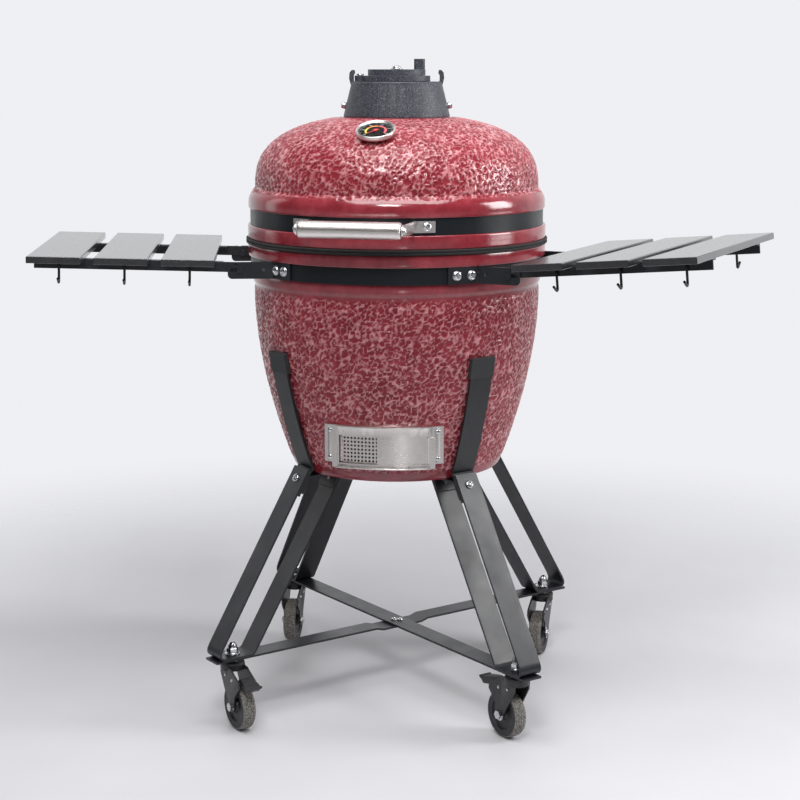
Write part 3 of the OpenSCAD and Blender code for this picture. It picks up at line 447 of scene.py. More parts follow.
def cross_head(radius, height, shank_r, shank, slot_w=0.16, slot_d=0.5):
    """A domed screw head with a cross recess, standing on z = 0 over its shank."""
    rings, around = 9, 48
    profile = [(0, -shank), (shank_r, -shank), (shank_r, 0), (radius, 0), (radius, height * 0.3)]
    profile += [(radius * math.cos(a), height * (0.3 + 0.7 * math.sin(a)))
                for a in np.linspace(0, math.pi / 2, rings + 4)[1:]]
    points, faces = turned(profile, around)
    for p in points:
        if p[2] > height * 0.55:
            across = min(abs(p[0]), abs(p[1])) / radius
            along = max(abs(p[0]), abs(p[1])) / radius
            if across < slot_w and along < 0.66:
                p[2] -= height * slot_d * (1 - (across / slot_w) ** 4) * min(1, (0.66 - along) * 6)
    return points, faces


def joined(shapes):
    """Several (points, faces, matrix) as one list of points and one of faces."""
    all_points, all_faces = [], []
    for points, faces, spot in shapes:
        start = len(all_points)
        all_points += [spot @ Vector(p) for p in points]
        all_faces += [tuple(i + start for i in f) for f in faces]
    return all_points, all_faces


def leaning(place, outward):
    """A matrix that stands z = 0 at a place, with +Z pointing outward."""
    spin = Vector(outward).to_track_quat("Z", "Y").to_matrix().to_4x4()
    return Matrix.Translation(place) @ spin


def out_of_corner(corner, r, z):
    """A point in a corner's radius-height plane."""
    turn = math.radians({"fr": -45, "fl": -135, "bl": 135, "br": 45}[corner])
    return Vector((r * math.cos(turn), r * math.sin(turn), z))


leg_out_top, leg_out_foot = (0.214, 0.462), (0.415, 0.132)
leg_in_top, leg_in_foot = (0.142, 0.445), (0.337, 0.132)
shapes = []
for corner in ("fl", "fr", "bl", "br"):
    for top, foot, down, side in [(leg_out_top, leg_out_foot, 0.022, 1), (leg_in_top, leg_in_foot, 0.015, -1)]:
        run = Vector((foot[0] - top[0], foot[1] - top[1])).normalized()
        away = (-run[1] * side, run[0] * side)
        at = (top[0] + run[0] * down + away[0] * 0.0021, top[1] + run[1] * down + away[1] * 0.0021)
        head = cross_head(0.008, 0.005, 0.004, 0.009 if side < 0 else 0.014)
        shapes.append((*head, leaning(out_of_corner(corner, *at),
                                      out_of_corner(corner, away[0], away[1]))))
    x, y = {"fl": (-1, -1), "fr": (1, -1), "bl": (-1, 1), "br": (1, 1)}[corner]
    over = Matrix.Translation((x * stem_off, y * stem_off, 0.1341))
    washer = turned([(0.0051, 0), (0.0134, 0), (0.014, 0.0005), (0.014, 0.0016), (0.0134, 0.002), (0.0051, 0.002),
                     (0.0051, 0)], 48)
    flange = turned([(0.0052, 0.002), (0.0122, 0.002), (0.0122, 0.003), (0.011, 0.0042), (0.0052, 0.0042),
                     (0.0052, 0.002)], 48)
    flats = turned([(0.0052, 0.0042), (0.0102, 0.0042), (0.0109, 0.005), (0.0109, 0.0112), (0.01, 0.012),
                    (0.0052, 0.012), (0.0052, 0.0042)], 6)
    crown = turned([(0.0052, 0.0108), (0.009, 0.0108)]
                   + [(0.009 * math.cos(a), 0.0112 + 0.0127 * math.sin(a))
                      for a in np.linspace(0, math.pi / 2, 9)], 40)
    shapes += [(*part, over) for part in (washer, flange, flats, crown)]
for x in (-0.006, 0.006):
    shapes.append((*cross_head(0.006, 0.004, 0.003, 0.012), Matrix.Translation((x, 0, 0.1299))))
points, faces = joined(shapes)
piece("cart_bolts", points, faces, zinc_plate, "root", "cart_bolts", weld=1e-7)

# ---- Bowl ----
# A heavy ceramic bowl, cast and fired with a thick red glaze that crawls into
# a network of pits and ridges, and smooth on its shoulder, rim and foot.


def relief(spot, cells=110):
    """How proud the glaze stands at a point: 0 in a pit and 1 on a ridge."""
    at = Vector(spot) * cells
    at += 0.55 * noise.noise_vector(at * 0.8)
    near = noise.voronoi(at)[0]
    open_by = min(1.0, max(0.0, (near[1] - near[0] - 0.03) / 0.27))
    whole = min(1.0, max(0.2, 0.92 + 0.7 * noise.noise(at * 1.2 + Vector((7, 3, 5)))))
    return (1 - open_by * open_by * (3 - 2 * open_by)) * whole


def directions(count, exact, stepped):
    """Directions round a turn in degrees from the front, exact or doubled where an edge falls."""
    found = list(np.arange(count) * 360 / count - 180)
    for a in exact:
        found = [f for f in found if abs(f - a) > 0.2] + [a]
    for a in stepped:
        found = [f for f in found if abs(f - a) > 0.25] + [a - 0.02, a + 0.02]
    return np.array(sorted(found))


def glazed_shell(name, outline, around, depth, coat, body, node, land=None, window=None):
    """A thick turned shell from rows of (radius, height, share of relief, glazed), its glaze raised and sunk.
    land is (from, to, low, high, radius) of a seat on it; window is (from, to, low, high) of an opening."""
    rows = np.array(outline, float)
    n = len(around)
    turn = np.radians(around)
    grid_r = np.repeat(rows[:, :1], n, 1)
    grid_z = np.repeat(rows[:, 1:2], n, 1)
    share = np.repeat(rows[:, 2:3], n, 1)
    outer_rows = rows[:, 3] > 0
    if land:
        on_land = ((around[None, :] > land[0]) & (around[None, :] < land[1])
                   & (grid_z > land[2]) & (grid_z < land[3]) & outer_rows[:, None])
        near = ((around[None, :] > land[0] - 0.7) & (around[None, :] < land[1] + 0.7)
                & (grid_z > land[2] - 0.003) & (grid_z < land[3] + 0.003))
        grid_r[on_land] = land[4]
        share[near] = 0
    slope = np.gradient(rows[:, :2], axis=0)
    slope /= np.maximum(np.linalg.norm(slope, axis=1, keepdims=True), 1e-9)
    points = np.stack([grid_r * np.sin(turn), -grid_r * np.cos(turn), grid_z], -1)
    ridge = np.zeros(grid_r.shape)
    for i in np.flatnonzero(share.max(1) > 0):
        for j in range(n):
            if share[i, j] > 0:
                ridge[i, j] = relief(points[i, j]) * share[i, j]
        rise = (ridge[i] - 0.45 * share[i]) * depth
        out_r, out_z = slope[i, 1], -slope[i, 0]
        points[i, :, 0] += rise * out_r * np.sin(turn)
        points[i, :, 1] -= rise * out_r * np.cos(turn)
        points[i, :, 2] += rise * out_z
    at = lambda i, j: i * n + j % n
    faces = []
    spans = []
    if window:
        c0, c1 = (int(np.argmin(abs(around - a))) for a in window[:2])
        inside = [k for k in range(len(rows)) if window[2] - 1e-6 <= rows[k, 1] <= window[3] + 1e-6]
        out_rows = [k for k in inside if outer_rows[k]]
        in_rows = [k for k in inside if not outer_rows[k]][::-1]
        spans = [(min(g), max(g)) for g in (out_rows, in_rows)]
        for a, b in zip(out_rows, out_rows[1:]):
            k = out_rows.index(a)
            for c, order in ((c0, 1), (c1, -1)):
                faces.append((at(a, c), at(b, c), at(in_rows[k + 1], c), at(in_rows[k], c))[::order])
        for k in (0, -1):
            for j in range(c0, c1):
                faces.append((at(out_rows[k], j), at(out_rows[k], j + 1), at(in_rows[k], j + 1), at(in_rows[k], j)))
    for i in range(len(rows) - 1):
        skipped = any(low <= i < high for low, high in spans)
        for j in range(n):
            if not (skipped and c0 <= j < c1):
                faces.append((at(i, j), at(i, j + 1), at(i + 1, j + 1), at(i + 1, j)))
    mesh = bpy.data.meshes.new(name)
    mesh.from_pydata([tuple(p) for p in points.reshape(-1, 3)], [], faces)
    mark = mesh.attributes.new("ridge", "FLOAT", "POINT")
    mark.data.foreach_set("value", ridge.astype(np.float32).ravel())
    shine = mesh.attributes.new("shine", "FLOAT", "POINT")
    shine.data.foreach_set("value", (1 - share + ridge).astype(np.float32).ravel())
    kind = mesh.attributes.new("bare", "FLOAT", "POINT")
    kind.data.foreach_set("value", np.repeat(1 - rows[:, 3], n).astype(np.float32))
    work = bmesh.new()
    work.from_mesh(mesh)
    bmesh.ops.remove_doubles(work, verts=work.verts, dist=1e-6)
    bmesh.ops.dissolve_degenerate(work, edges=work.edges, dist=1e-7)
    bmesh.ops.recalc_face_normals(work, faces=work.faces)
    work.to_mesh(mesh)
    work.free()
    return finished(name, mesh, coat, body, node, smooth=60)


glaze, tree, shader = finish("crawled_red_glaze", roughness=0.16, colour=(0.2, 0.02, 0.03), Coat_Weight=0.0)
mark = add_node(tree, "Attribute", attribute_name="ridge")
pool = grain(tree, 26, detail=5, rough=0.65)
fleck = grain(tree, 520, detail=4)
shine = add_node(tree, "Attribute", attribute_name="shine")
ramp(tree, shine.outputs["Fac"], shader.inputs["Specular IOR Level"], [(0.0, 0.25), (0.45, 0.5), (1.0, 0.9)])
bare = add_node(tree, "Attribute", attribute_name="bare")
worn = add_node(tree, "MixRGB", blend_type="MIX")
deep = ramp(tree, pool.outputs["Fac"], worn.inputs["Color1"],
            [(0.3, (0.19, 0.016, 0.024)), (0.5, (0.26, 0.026, 0.038)), (0.72, (0.33, 0.045, 0.06))])
# The ridges are painted pale pink. This is partly the glaze thinning over them and partly a painted highlight,
# standing in for the gloss on their slopes.
thin_glaze_and_highlight = add_node(tree, "MixRGB", blend_type="MIX")
ramp(tree, fleck.outputs["Fac"], thin_glaze_and_highlight.inputs["Color2"], [(0.3, (0.5, 0.13, 0.15)), (0.72, (0.78, 0.4, 0.42))])
tree.links.new(deep.outputs["Color"], thin_glaze_and_highlight.inputs["Color1"])
ramp(tree, mark.outputs["Fac"], thin_glaze_and_highlight.inputs["Fac"], [(0.3, 0.0), (0.75, 0.5), (1.0, 1.0)])
tree.links.new(thin_glaze_and_highlight.outputs["Color"], worn.inputs["Color1"])
worn.inputs["Color2"].default_value = (0.6, 0.5, 0.4, 1)
tree.links.new(bare.outputs["Fac"], worn.inputs["Fac"])
tree.links.new(worn.outputs["Color"], shader.inputs["Base Color"])
ramp(tree, fleck.outputs["Fac"], shader.inputs["Roughness"], [(0.3, 0.1), (0.7, 0.2)])
ripple = grain(tree, 150, detail=3)
bumped(tree, shader, ripple.outputs["Fac"], 0.0006, 0.25)

crawl_depth = 0.0021
land = (-23.4, 30.2, 0.483, 0.560, 0.2294)
window = (-14.3, 22.0, 0.494, 0.540)


def bowl_radius(z):
    """The bowl's outer radius below its shoulder."""
    return 0.265 - 0.071 * max(0.0, (0.772 - z) / 0.322) ** 1.78


wall_rows = sorted(set(np.round(np.arange(0.458, 0.7935, 0.0025), 6)) - {0.483, 0.56}
                   | {0.48295, 0.48305, 0.494, 0.540, 0.55995, 0.56005, 0.793})
wall_rows = [z for z in wall_rows if min(abs(z - e) for e in (0.483, 0.494, 0.540, 0.56)) > 0.0009
             or z in (0.48295, 0.48305, 0.494, 0.540, 0.55995, 0.56005)]
outline = [(0.0, 0.45, 0, 1), (0.1, 0.45, 0, 1), (0.186, 0.45, 0, 1), (0.1895, 0.4503, 0, 1),
           (0.1925, 0.4513, 0, 1), (bowl_radius(0.4535) - 0.0004, 0.4535, 0, 1)]
for z in wall_rows:
    crawl = min(1, max(0, (z - 0.465) / 0.006)) * min(1, max(0, (0.793 - z) / 0.008))
    outline.append((bowl_radius(z), z, crawl, 1))
outline += [(r / 1000, z / 1000, 0, 1) for r, z in
            [(265.5, 795), (266.6, 796.6), (267.8, 798.8), (268.6, 801.5), (269, 805), (269.1, 809), (269, 814),
             (268.6, 816.8), (268.6, 817.2), (268.6, 846.8), (268.8, 847.1), (275.6, 847.1), (276.5, 847.5),
             (277, 848.6), (277, 853), (277, 858), (277, 866), (276.8, 867.6), (276.2, 868.5), (275, 869)]]
outline += [(0.262, 0.869, 0, 0), (0.2425, 0.869, 0, 0), (0.241, 0.8675, 0, 0)]
inner = [z for z in wall_rows if 0.494 - 1e-6 <= z <= 0.54 + 1e-6]
for z in [0.84, 0.80, 0.76, 0.72, 0.68, 0.65, 0.62, 0.60, 0.58, 0.56] + inner[::-1] + [0.486, 0.478]:
    outline.append((min(bowl_radius(z) - 0.024, 0.241), z, 0, 0))
outline += [(bowl_radius(0.474) - 0.03, 0.474, 0, 0), (0.1, 0.474, 0, 0), (0.0, 0.474, 0, 0)]
glazed_shell("base_bowl", outline, directions(640, window[:2], land[:2]), crawl_depth, glaze, "root", "base_bowl",
             land, window)

# ---- Fire box and fire ring ----
# Two loose liners of sandy fire clay that hold the charcoal off the bowl's
# wall; they stand on its floor and carry the grates.
fire_clay, tree, shader = finish("fire_clay", roughness=0.9, colour=(0.5, 0.4, 0.29))
sand = grain(tree, 350, detail=8, rough=0.75)
smoke = grain(tree, 9, detail=5, rough=0.6)
tone = ramp(tree, sand.outputs["Fac"], shader.inputs["Base Color"],
            [(0.3, (0.36, 0.28, 0.2)), (0.7, (0.62, 0.52, 0.4))])
soot = add_node(tree, "MixRGB", {"Color2": (0.05, 0.045, 0.04, 1)}, blend_type="MIX")
tree.links.new(tone.outputs["Color"], soot.inputs["Color1"])
ramp(tree, smoke.outputs["Fac"], soot.inputs["Fac"], [(0.48, 0.0), (0.7, 0.6)])
tree.links.new(soot.outputs["Color"], shader.inputs["Base Color"])
bumped(tree, shader, sand.outputs["Fac"], 0.0006, 0.6)
for node in ("fire_box", "fire_ring"):
    softened(node, node, fire_clay, "root", round_by=0.0015)

# ---- Grates ----
# A cast-iron charcoal grate on the fire box, and a welded stainless grid on
# the fire ring for the food.
cast_iron, tree, shader = finish("cast_iron", roughness=0.5, colour=(0.04, 0.042, 0.046))
sand_cast = grain(tree, 620, detail=6, rough=0.7)
cast_patch = grain(tree, 30, detail=4)
ramp(tree, sand_cast.outputs["Fac"], shader.inputs["Base Color"],
     [(0.35, (0.014, 0.016, 0.023)), (0.54, (0.036, 0.041, 0.055)), (0.66, (0.26, 0.27, 0.31))])
ramp(tree, cast_patch.outputs["Fac"], shader.inputs["Roughness"], [(0.3, 0.4), (0.7, 0.56)])
bumped(tree, shader, sand_cast.outputs["Fac"], 0.0007, 0.7)

steel, tree, shader = finish("brushed_stainless", metallic=1.0, roughness=0.3, colour=(0.72, 0.68, 0.66))
brush = grain(tree, 700, stretch=(0.03, 1, 1), detail=5, rough=0.7)
smear = grain(tree, 12, detail=4)
ramp(tree, brush.outputs["Fac"], shader.inputs["Roughness"], [(0.3, 0.24), (0.7, 0.4)])
ramp(tree, smear.outputs["Fac"], shader.inputs["Base Color"],
     [(0.3, (0.8, 0.75, 0.73)), (0.7, (0.92, 0.87, 0.85))])
bumped(tree, shader, brush.outputs["Fac"], 0.00003, 0.08)
softened("charcoal_grate", "charcoal_grate", cast_iron, "root", round_by=0.0008)
softened("cooking_grid", "cooking_grid", steel, "root", round_by=0.0009)

# ---- Draft door ----
# A stainless frame screwed to a flat on the bowl, with a perforated spark
# screen and a solid door that slide behind each other in its tracks.
for node, body in (("draft_frame", "root"), ("draft_screen", "draft_screen"), ("draft_door", "draft_door")):
    softened(node, node, steel, body, round_by=0.0003, dissolve=0.2)

# ---- Gaskets ----
# Two rings of black felt glued to the rims, soft and fibrous, which seal the
# lid to the bowl.
felt, tree, shader = finish("black_felt", roughness=0.95, colour=(0.01, 0.009, 0.009), Sheen_Weight=0.06,
                            Sheen_Roughness=0.6)
fibre = grain(tree, 1400, detail=6, rough=0.8, twist=1.5)
ramp(tree, fibre.outputs["Fac"], shader.inputs["Base Color"],
     [(0.35, (0.004, 0.0035, 0.0035)), (0.7, (0.02, 0.016, 0.016))])
bumped(tree, shader, fibre.outputs["Fac"], 0.0012, 0.8)
for node, body, low, high in (("lower_gasket", "root", 0.869, 0.8736), ("upper_gasket", "lid", 0.8739, 0.8785)):
    half_up = (low + high) / 2
    ring = [(0.2445, low), (0.2795, low), (0.2804, low + 0.0008), (0.2807, half_up), (0.2804, high - 0.0008),
            (0.2795, high), (0.2445, high), (0.244, half_up), (0.2445, low)]
    points, faces = turned(ring, 420)
    for p in points:
        if math.hypot(p[0], p[1]) > 0.279:
            fuzz = 1 - 0.0016 * abs(noise.noise(Vector(p) * 420)) - 0.0012 * abs(noise.noise(Vector(p) * 90))
            p[0] *= fuzz
            p[1] *= fuzz
    piece(node, points, faces, felt, body, node, smooth=60)

# ---- Steel bands ----
# Flat steel straps painted satin black and drawn tight round the two rims,
# which carry the hinge, the handle and the shelf brackets.
band_paint, tree, shader = finish("band_paint", roughness=0.36, colour=(0.009, 0.011, 0.014),
                                  Specular_IOR_Level=0.28)
spray = grain(tree, 800, detail=3)
cloudy = grain(tree, 18, detail=5, rough=0.65)
ramp(tree, cloudy.outputs["Fac"], shader.inputs["Roughness"], [(0.3, 0.27), (0.7, 0.42)])
ramp(tree, spray.outputs["Fac"], shader.inputs["Base Color"],
     [(0.3, (0.006, 0.008, 0.011)), (0.7, (0.014, 0.017, 0.021))])
bumped(tree, shader, spray.outputs["Fac"], 0.00015, 0.35)
for node, body in (("lower_band", "root"), ("upper_band", "lid")):
    softened(node, node, band_paint, body, round_by=0.0007, dissolve=0.1)

# ---- Bowl bolts ----
# Zinc cross-head bolts through the shelf brackets, the hinge and the draft
# frame.


def facing(side, r, z):
    """A matrix that stands z = 0 on an upright wall, at a direction from the front and a radius."""
    turn = math.radians(side)
    return leaning((r * math.sin(turn), -r * math.cos(turn), z), (math.sin(turn), -math.cos(turn), 0))


lower_band_mid, upper_band_mid = 0.832, 0.918
band_bolt = cross_head(0.008, 0.005, 0.003, 0.0065)
washer_ring = turned([(0.003, 0), (0.0084, 0), (0.0088, 0.0004), (0.0084, 0.0009), (0.003, 0.0009),
                      (0.003, 0)], 40)
shapes = [(*part, facing(a, 0.276, lower_band_mid)) for part in (band_bolt, washer_ring)
          for a in (-41.7, -36.9, -115.9, -111.6, 31.9, 37.9, 110.8, 115.8)]
shapes += [(*band_bolt, facing(180 + a, 0.2765, lower_band_mid)) for a in (-18, 18)]
shapes += [(*cross_head(0.004, 0.0024, 0.002, 0.005), facing(a, 0.2375, z))
           for a in (-20.8, 27.6) for z in (0.501, 0.55)]
points, faces = joined(shapes)
piece("base_bolts", points, faces, zinc_plate, "root", "base_bolts", weld=1e-7)

# ---- Hinge ----
# A black steel saddle on each band with two cheeks, joined by one zinc pin
# that two coil springs are wound round to carry the lid.
softened("hinge_bracket", "hinge_bracket", band_paint, "root", round_by=0.0008)
softened("hinge_arm", "hinge_arm", band_paint, "lid", round_by=0.0008)
softened("hinge_pin", "hinge_pin", zinc_plate, "root", round_by=0.001)
spring_wire, tree, shader = finish("spring_wire", metallic=1.0, roughness=0.38, colour=(0.2, 0.2, 0.21))
drawn = grain(tree, 900, detail=4)
ramp(tree, drawn.outputs["Fac"], shader.inputs["Roughness"], [(0.3, 0.3), (0.7, 0.5)])
ramp(tree, drawn.outputs["Fac"], shader.inputs["Base Color"],
     [(0.3, (0.13, 0.13, 0.135)), (0.7, (0.3, 0.3, 0.31))])
bumped(tree, shader, drawn.outputs["Fac"], 0.0001, 0.3)


def wire(name, paths, radius, coat, body, stands_for=(), closed=False):
    """Round wire bent along lists of points, each a smooth curve, as one mesh piece."""
    bent = bpy.data.curves.new(name, "CURVE")
    bent.dimensions = "3D"
    bent.bevel_depth = radius
    bent.bevel_resolution = 5
    bent.use_fill_caps = True
    for path in paths:
        line = bent.splines.new("POLY")
        line.points.add(len(path) - 1)
        for knot, p in zip(line.points, path):
            knot.co = (*p, 1)
        line.use_cyclic_u = closed
    drawn_once = bpy.data.objects.new(name + "_path", bent)
    scene.collection.objects.link(drawn_once)
    bpy.context.view_layer.update()
    mesh = bpy.data.meshes.new_from_object(drawn_once.evaluated_get(bpy.context.evaluated_depsgraph_get()))
    bpy.data.objects.remove(drawn_once)
    mesh.materials.clear()
    work = bmesh.new()
    work.from_mesh(mesh)
    bmesh.ops.remove_doubles(work, verts=work.verts, dist=1e-7)
    work.to_mesh(mesh)
    work.free()
    mesh.name = name
    return finished(name, mesh, coat, body, stands_for, smooth=50)


coils = []
for side in (-1, 1):
    steps = 7 * 28
    coil = [(side * (0.0075 + 0.0052 * k / 28), 0.33 + 0.0095 * math.cos(k * math.tau / 28),
             0.8866 + 0.0095 * math.sin(k * math.tau / 28)) for k in range(steps + 1)]
    coils.append(coil)
wire("hinge_springs", coils, 0.0025, spring_wire, "root", "hinge_springs")

# ---- Lid ----
# The matching ceramic dome, with the same crawled glaze above a smooth rim
# and collar, open at the top for the vent.
dome_foot, dome_span, chimney_hole = 0.970, 0.262, 0.061


def dome_height(r, span=0.262, rise=0.132):
    """The height of the dome's surface above its foot at a radius."""
    return rise * max(0.0, 1 - (r / span) ** 2.62) ** (1 / 2.62)


dome_rows = []
for a in np.linspace(0, math.pi / 2, 900):
    r = dome_span - (dome_span - chimney_hole) * (1 - math.cos(a))
    dome_rows.append((r, dome_foot + dome_height(r)))
dome_rows.sort(key=lambda p: -p[0])
length = np.concatenate([[0], np.cumsum([math.dist(a, b) for a, b in zip(dome_rows, dome_rows[1:])])])
marks = np.linspace(0, length[-1], 126)
dome_r = np.interp(marks, length, [p[0] for p in dome_rows])
dome_z = np.interp(marks, length, [p[1] for p in dome_rows])
outline = [(0.241, 0.8797, 0, 0), (0.2425, 0.8785, 0, 0), (0.262, 0.8785, 0, 0)]
outline += [(r / 1000, z / 1000, 0, 1) for r, z in
            [(275, 878.5), (276.2, 879), (276.8, 879.9), (277, 881.5), (277, 890), (277, 899.5), (276.8, 901.5),
             (276, 902.8), (268.9, 902.9), (268.6, 903.2), (268.6, 932.8), (268.9, 933.1), (274.6, 933.2),
             (275.3, 934.2), (275.5, 936), (275.5, 942), (275.3, 947), (274.7, 951.5), (273.4, 955.5), (271.5, 959)]]
outline += [(r / 1000, z / 1000, share, 1) for r, z, share in
            [(270.1, 961, 0), (268.7, 962.6, 0.3), (267.2, 964.1, 0.7), (265.8, 965.6, 1), (264.4, 967.1, 1),
             (263.1, 968.6, 1)]]
for r, z in zip(dome_r, dome_z):
    outline.append((r, z, min(1, max(0, (r - 0.1) / 0.016)), 1))
outline += [(0.061, 1.09, 0, 0), (0.061, 1.0805, 0, 0)]
for a in np.linspace(math.pi / 2, 0, 22)[1:]:
    r = 0.239 - (0.239 - 0.061) * (1 - math.cos(a))
    outline.append((r, 0.966 + dome_height(r, 0.239, 0.113), 0, 0))
outline += [(0.241, 0.94, 0, 0), (0.241, 0.91, 0, 0), (0.241, 0.8797, 0, 0)]
glazed_shell("lid_dome", outline, directions(640, (), ()), crawl_depth, glaze, "lid", "lid_dome")

# ---- Handle ----
# A stainless tube with rounded ends, held out from the lid's band by two flat
# stainless arms and a screw in each end.
handle_out = 0.34
lid_turn = Matrix.Rotation(math.radians(-3.9), 4, "Z")
across = lid_turn @ Matrix.Translation((0, -handle_out, upper_band_mid)) @ Matrix.Rotation(math.radians(90), 4, "Y")
tube_r, tube_half = 0.015, 0.09
tube = [(0.0041, -tube_half + 0.015), (0.0041, -tube_half)]
tube += [(tube_r - 0.0045 + 0.0045 * math.sin(a), -tube_half + 0.0045 - 0.0045 * math.cos(a))
         for a in np.linspace(0, math.pi / 2, 8)]
tube += [(tube_r, -tube_half + 0.0052), (tube_r - 0.0003, -tube_half + 0.0056), (tube_r, -tube_half + 0.006)]
tube += [(tube_r, z) for z in np.linspace(-tube_half + 0.01, tube_half - 0.01, 12)]
tube += [(tube_r, tube_half - 0.006), (tube_r - 0.0003, tube_half - 0.0056), (tube_r, tube_half - 0.0052)]
tube += [(tube_r - 0.0045 + 0.0045 * math.sin(a), tube_half - 0.0045 + 0.0045 * math.cos(a))
         for a in np.linspace(math.pi / 2, 0, 8)]
tube += [(0.0041, tube_half), (0.0041, tube_half - 0.015)]
points, faces = turned(tube, 72)
piece("handle_grip", points, faces, steel, "lid", "handle_grip", across)
softened("handle_brackets", "handle_brackets", steel, "lid", round_by=0.0006)

# ---- Lid bolts ----
# Zinc bolts through the handle's arms, the hinge and the vent.
vent_turn = Matrix.Rotation(math.radians(8), 4, "Z")
shapes = [(*band_bolt, facing(-3.9 + a, 0.2755, upper_band_mid)) for a in (-24.3, 24.3)]
shapes += [(*band_bolt, facing(180 + a, 0.2765, upper_band_mid)) for a in (-18, 18)]
for side in (-1, 1):
    end = (lid_turn @ Matrix.Translation((side * 0.0944, -handle_out, upper_band_mid))
           @ Matrix.Rotation(math.radians(90 * side), 4, "Y"))
    shapes.append((*cross_head(0.007, 0.0045, 0.0039, 0.0185), end))
    slant = (vent_turn @ Matrix.Translation((side * 0.0939, 0, 1.118))
             @ Matrix.Rotation(math.radians(76 * side), 4, "Y"))
    shapes.append((*turned([(0, -0.006), (0.004, -0.006), (0.004, 0), (0.0058, 0), (0.006, 0.0004), (0.006, 0.006),
                            (0.0052, 0.0078), (0.003, 0.0088), (0, 0.009)], 32), slant))
shapes.append((*cross_head(0.007, 0.004, 0.0039, 0.024), vent_turn @ Matrix.Translation((-0.067, 0, 1.1733))))
points, faces = joined(shapes)
piece("lid_bolts", points, faces, zinc_plate, "lid", "lid_bolts", weld=1e-7)

# ---- Thermometer ----
# A bimetal dial on a long stem through the dome: a bright bezel, a black face
# printed with ticks, numbers and a coloured arc, a red pointer and a lens.
dial_axis = (Matrix.Rotation(math.radians(-0.7), 4, "Z") @ Matrix.Translation((0, -0.2, 1.070303))
             @ Matrix.Rotation(math.radians(24), 4, "X"))
case = [(0.0, 0.0005), (0.0098, 0.0005), (0.01, 0.003), (0.029, 0.003), (0.032, 0.0045), (0.0338, 0.006),
        (0.0345, 0.0072), (0.035, 0.0085), (0.035, 0.0118), (0.0348, 0.013), (0.0342, 0.0137), (0.0335, 0.014),
        (0.0328, 0.0138),
        (0.0323, 0.0132), (0.0321, 0.0122), (0.0306, 0.0112), (0.0306, 0.009), (0.0, 0.009)]
points, faces = turned(case, 120)
stem = turned([(0, -0.055), (0.003, -0.055), (0.004, -0.0535), (0.004, 0.0008), (0, 0.0008)], 32)
points, faces = joined([(points, faces, dial_axis), (*stem, dial_axis)])
piece("thermometer_case", points, faces, steel, "lid", "thermometer_case")

face_black, tree, shader = finish("dial_face_black", roughness=0.45, colour=(0.004, 0.004, 0.004),
                                  Specular_IOR_Level=0.1)
print_grain = grain(tree, 1500, detail=2)
ramp(tree, print_grain.outputs["Fac"], shader.inputs["Base Color"],
     [(0.3, (0.002, 0.002, 0.002)), (0.7, (0.006, 0.006, 0.006))])
ramp(tree, print_grain.outputs["Fac"], shader.inputs["Roughness"], [(0.3, 0.35), (0.7, 0.55)])


def ink(name, colour):
    """A printed ink with a faint mottle."""
    made, tree, shader = finish(name, roughness=0.5, colour=colour)
    spread = grain(tree, 2000, detail=2)
    ramp(tree, spread.outputs["Fac"], shader.inputs["Base Color"],
         [(0.3, tuple(c * 0.85 for c in colour)), (0.7, tuple(min(1, c * 1.1) for c in colour))])
    return made


points, faces = turned([(0.0, 0.0091), (0.0303, 0.0091), (0.0303, 0.0097), (0.0303, 0.0098), (0.0, 0.0098)], 96)
piece("dial_face", points, faces, face_black, "lid", "thermometer_dial", dial_axis)


def dial_patch(r0, r1, start, stop, low=0.00981, high=0.00992, steps=24):
    """A raised printed patch between two radii and two angles, counted from the right of the dial."""
    points, faces = [], []
    for a in np.radians(np.linspace(start, stop, steps + 1)):
        points += [(r * math.cos(a), r * math.sin(a), z) for r, z in ((r0, low), (r1, low), (r1, high), (r0, high))]
    for k in range(steps):
        for c in range(4):
            faces.append((4 * k + c, 4 * k + (c + 1) % 4, 4 * k + 4 + (c + 1) % 4, 4 * k + 4 + c))
    faces += [(3, 2, 1, 0), (4 * steps, 4 * steps + 1, 4 * steps + 2, 4 * steps + 3)]
    return points, faces


white_ink = ink("white_print", (0.75, 0.75, 0.74))
ticks = []
for k in range(51):
    a = 222 - 5 * k
    big = k % 5 == 0
    inner_r, half_wide = (0.0262, 0.9) if big else (0.0275, 0.45)
    tick = dial_patch(inner_r, 0.0292, a - half_wide, a + half_wide, steps=1)
    ticks.append((*tick, Matrix.Identity(4)))
points, faces = joined(ticks)
piece("dial_ticks", points, faces, white_ink, "lid", place=dial_axis)
for name, colour, start, stop in [("low", (0.62, 0.6, 0.06), 222, 150), ("middle", (0.8, 0.3, 0.08), 150, 84),
                                  ("high", (0.75, 0.12, 0.13), 84, -28)]:
    points, faces = dial_patch(0.0158, 0.0194, start, stop)
    piece("dial_arc_" + name, points, faces, ink(name + "_arc_print", colour), "lid", place=dial_axis)
points, faces = dial_patch(0.0058, 0.0072, 20, 160)
piece("dial_centre_mark", points, faces, ink("red_print", (0.6, 0.03, 0.03)), "lid", place=dial_axis)
figures = []
for k in range(6):
    a = math.radians(222 - 50 * k)
    text = bpy.data.curves.new("figure", "FONT")
    text.body = str(50 + 70 * k)
    text.size = 0.004
    text.align_x, text.align_y = "CENTER", "CENTER"
    text.extrude = 0.00005
    written = bpy.data.objects.new("figure", text)
    scene.collection.objects.link(written)
    bpy.context.view_layer.update()
    shape = bpy.data.meshes.new_from_object(written.evaluated_get(bpy.context.evaluated_depsgraph_get()))
    bpy.data.objects.remove(written)
    spot = Matrix.Translation((0.0231 * math.cos(a), 0.0231 * math.sin(a), 0.00988))
    figures.append(([tuple(v.co) for v in shape.vertices], [tuple(f.vertices) for f in shape.polygons], spot))
points, faces = joined(figures)
piece("dial_figures", points, faces, white_ink, "lid", place=dial_axis, weld=1e-7)

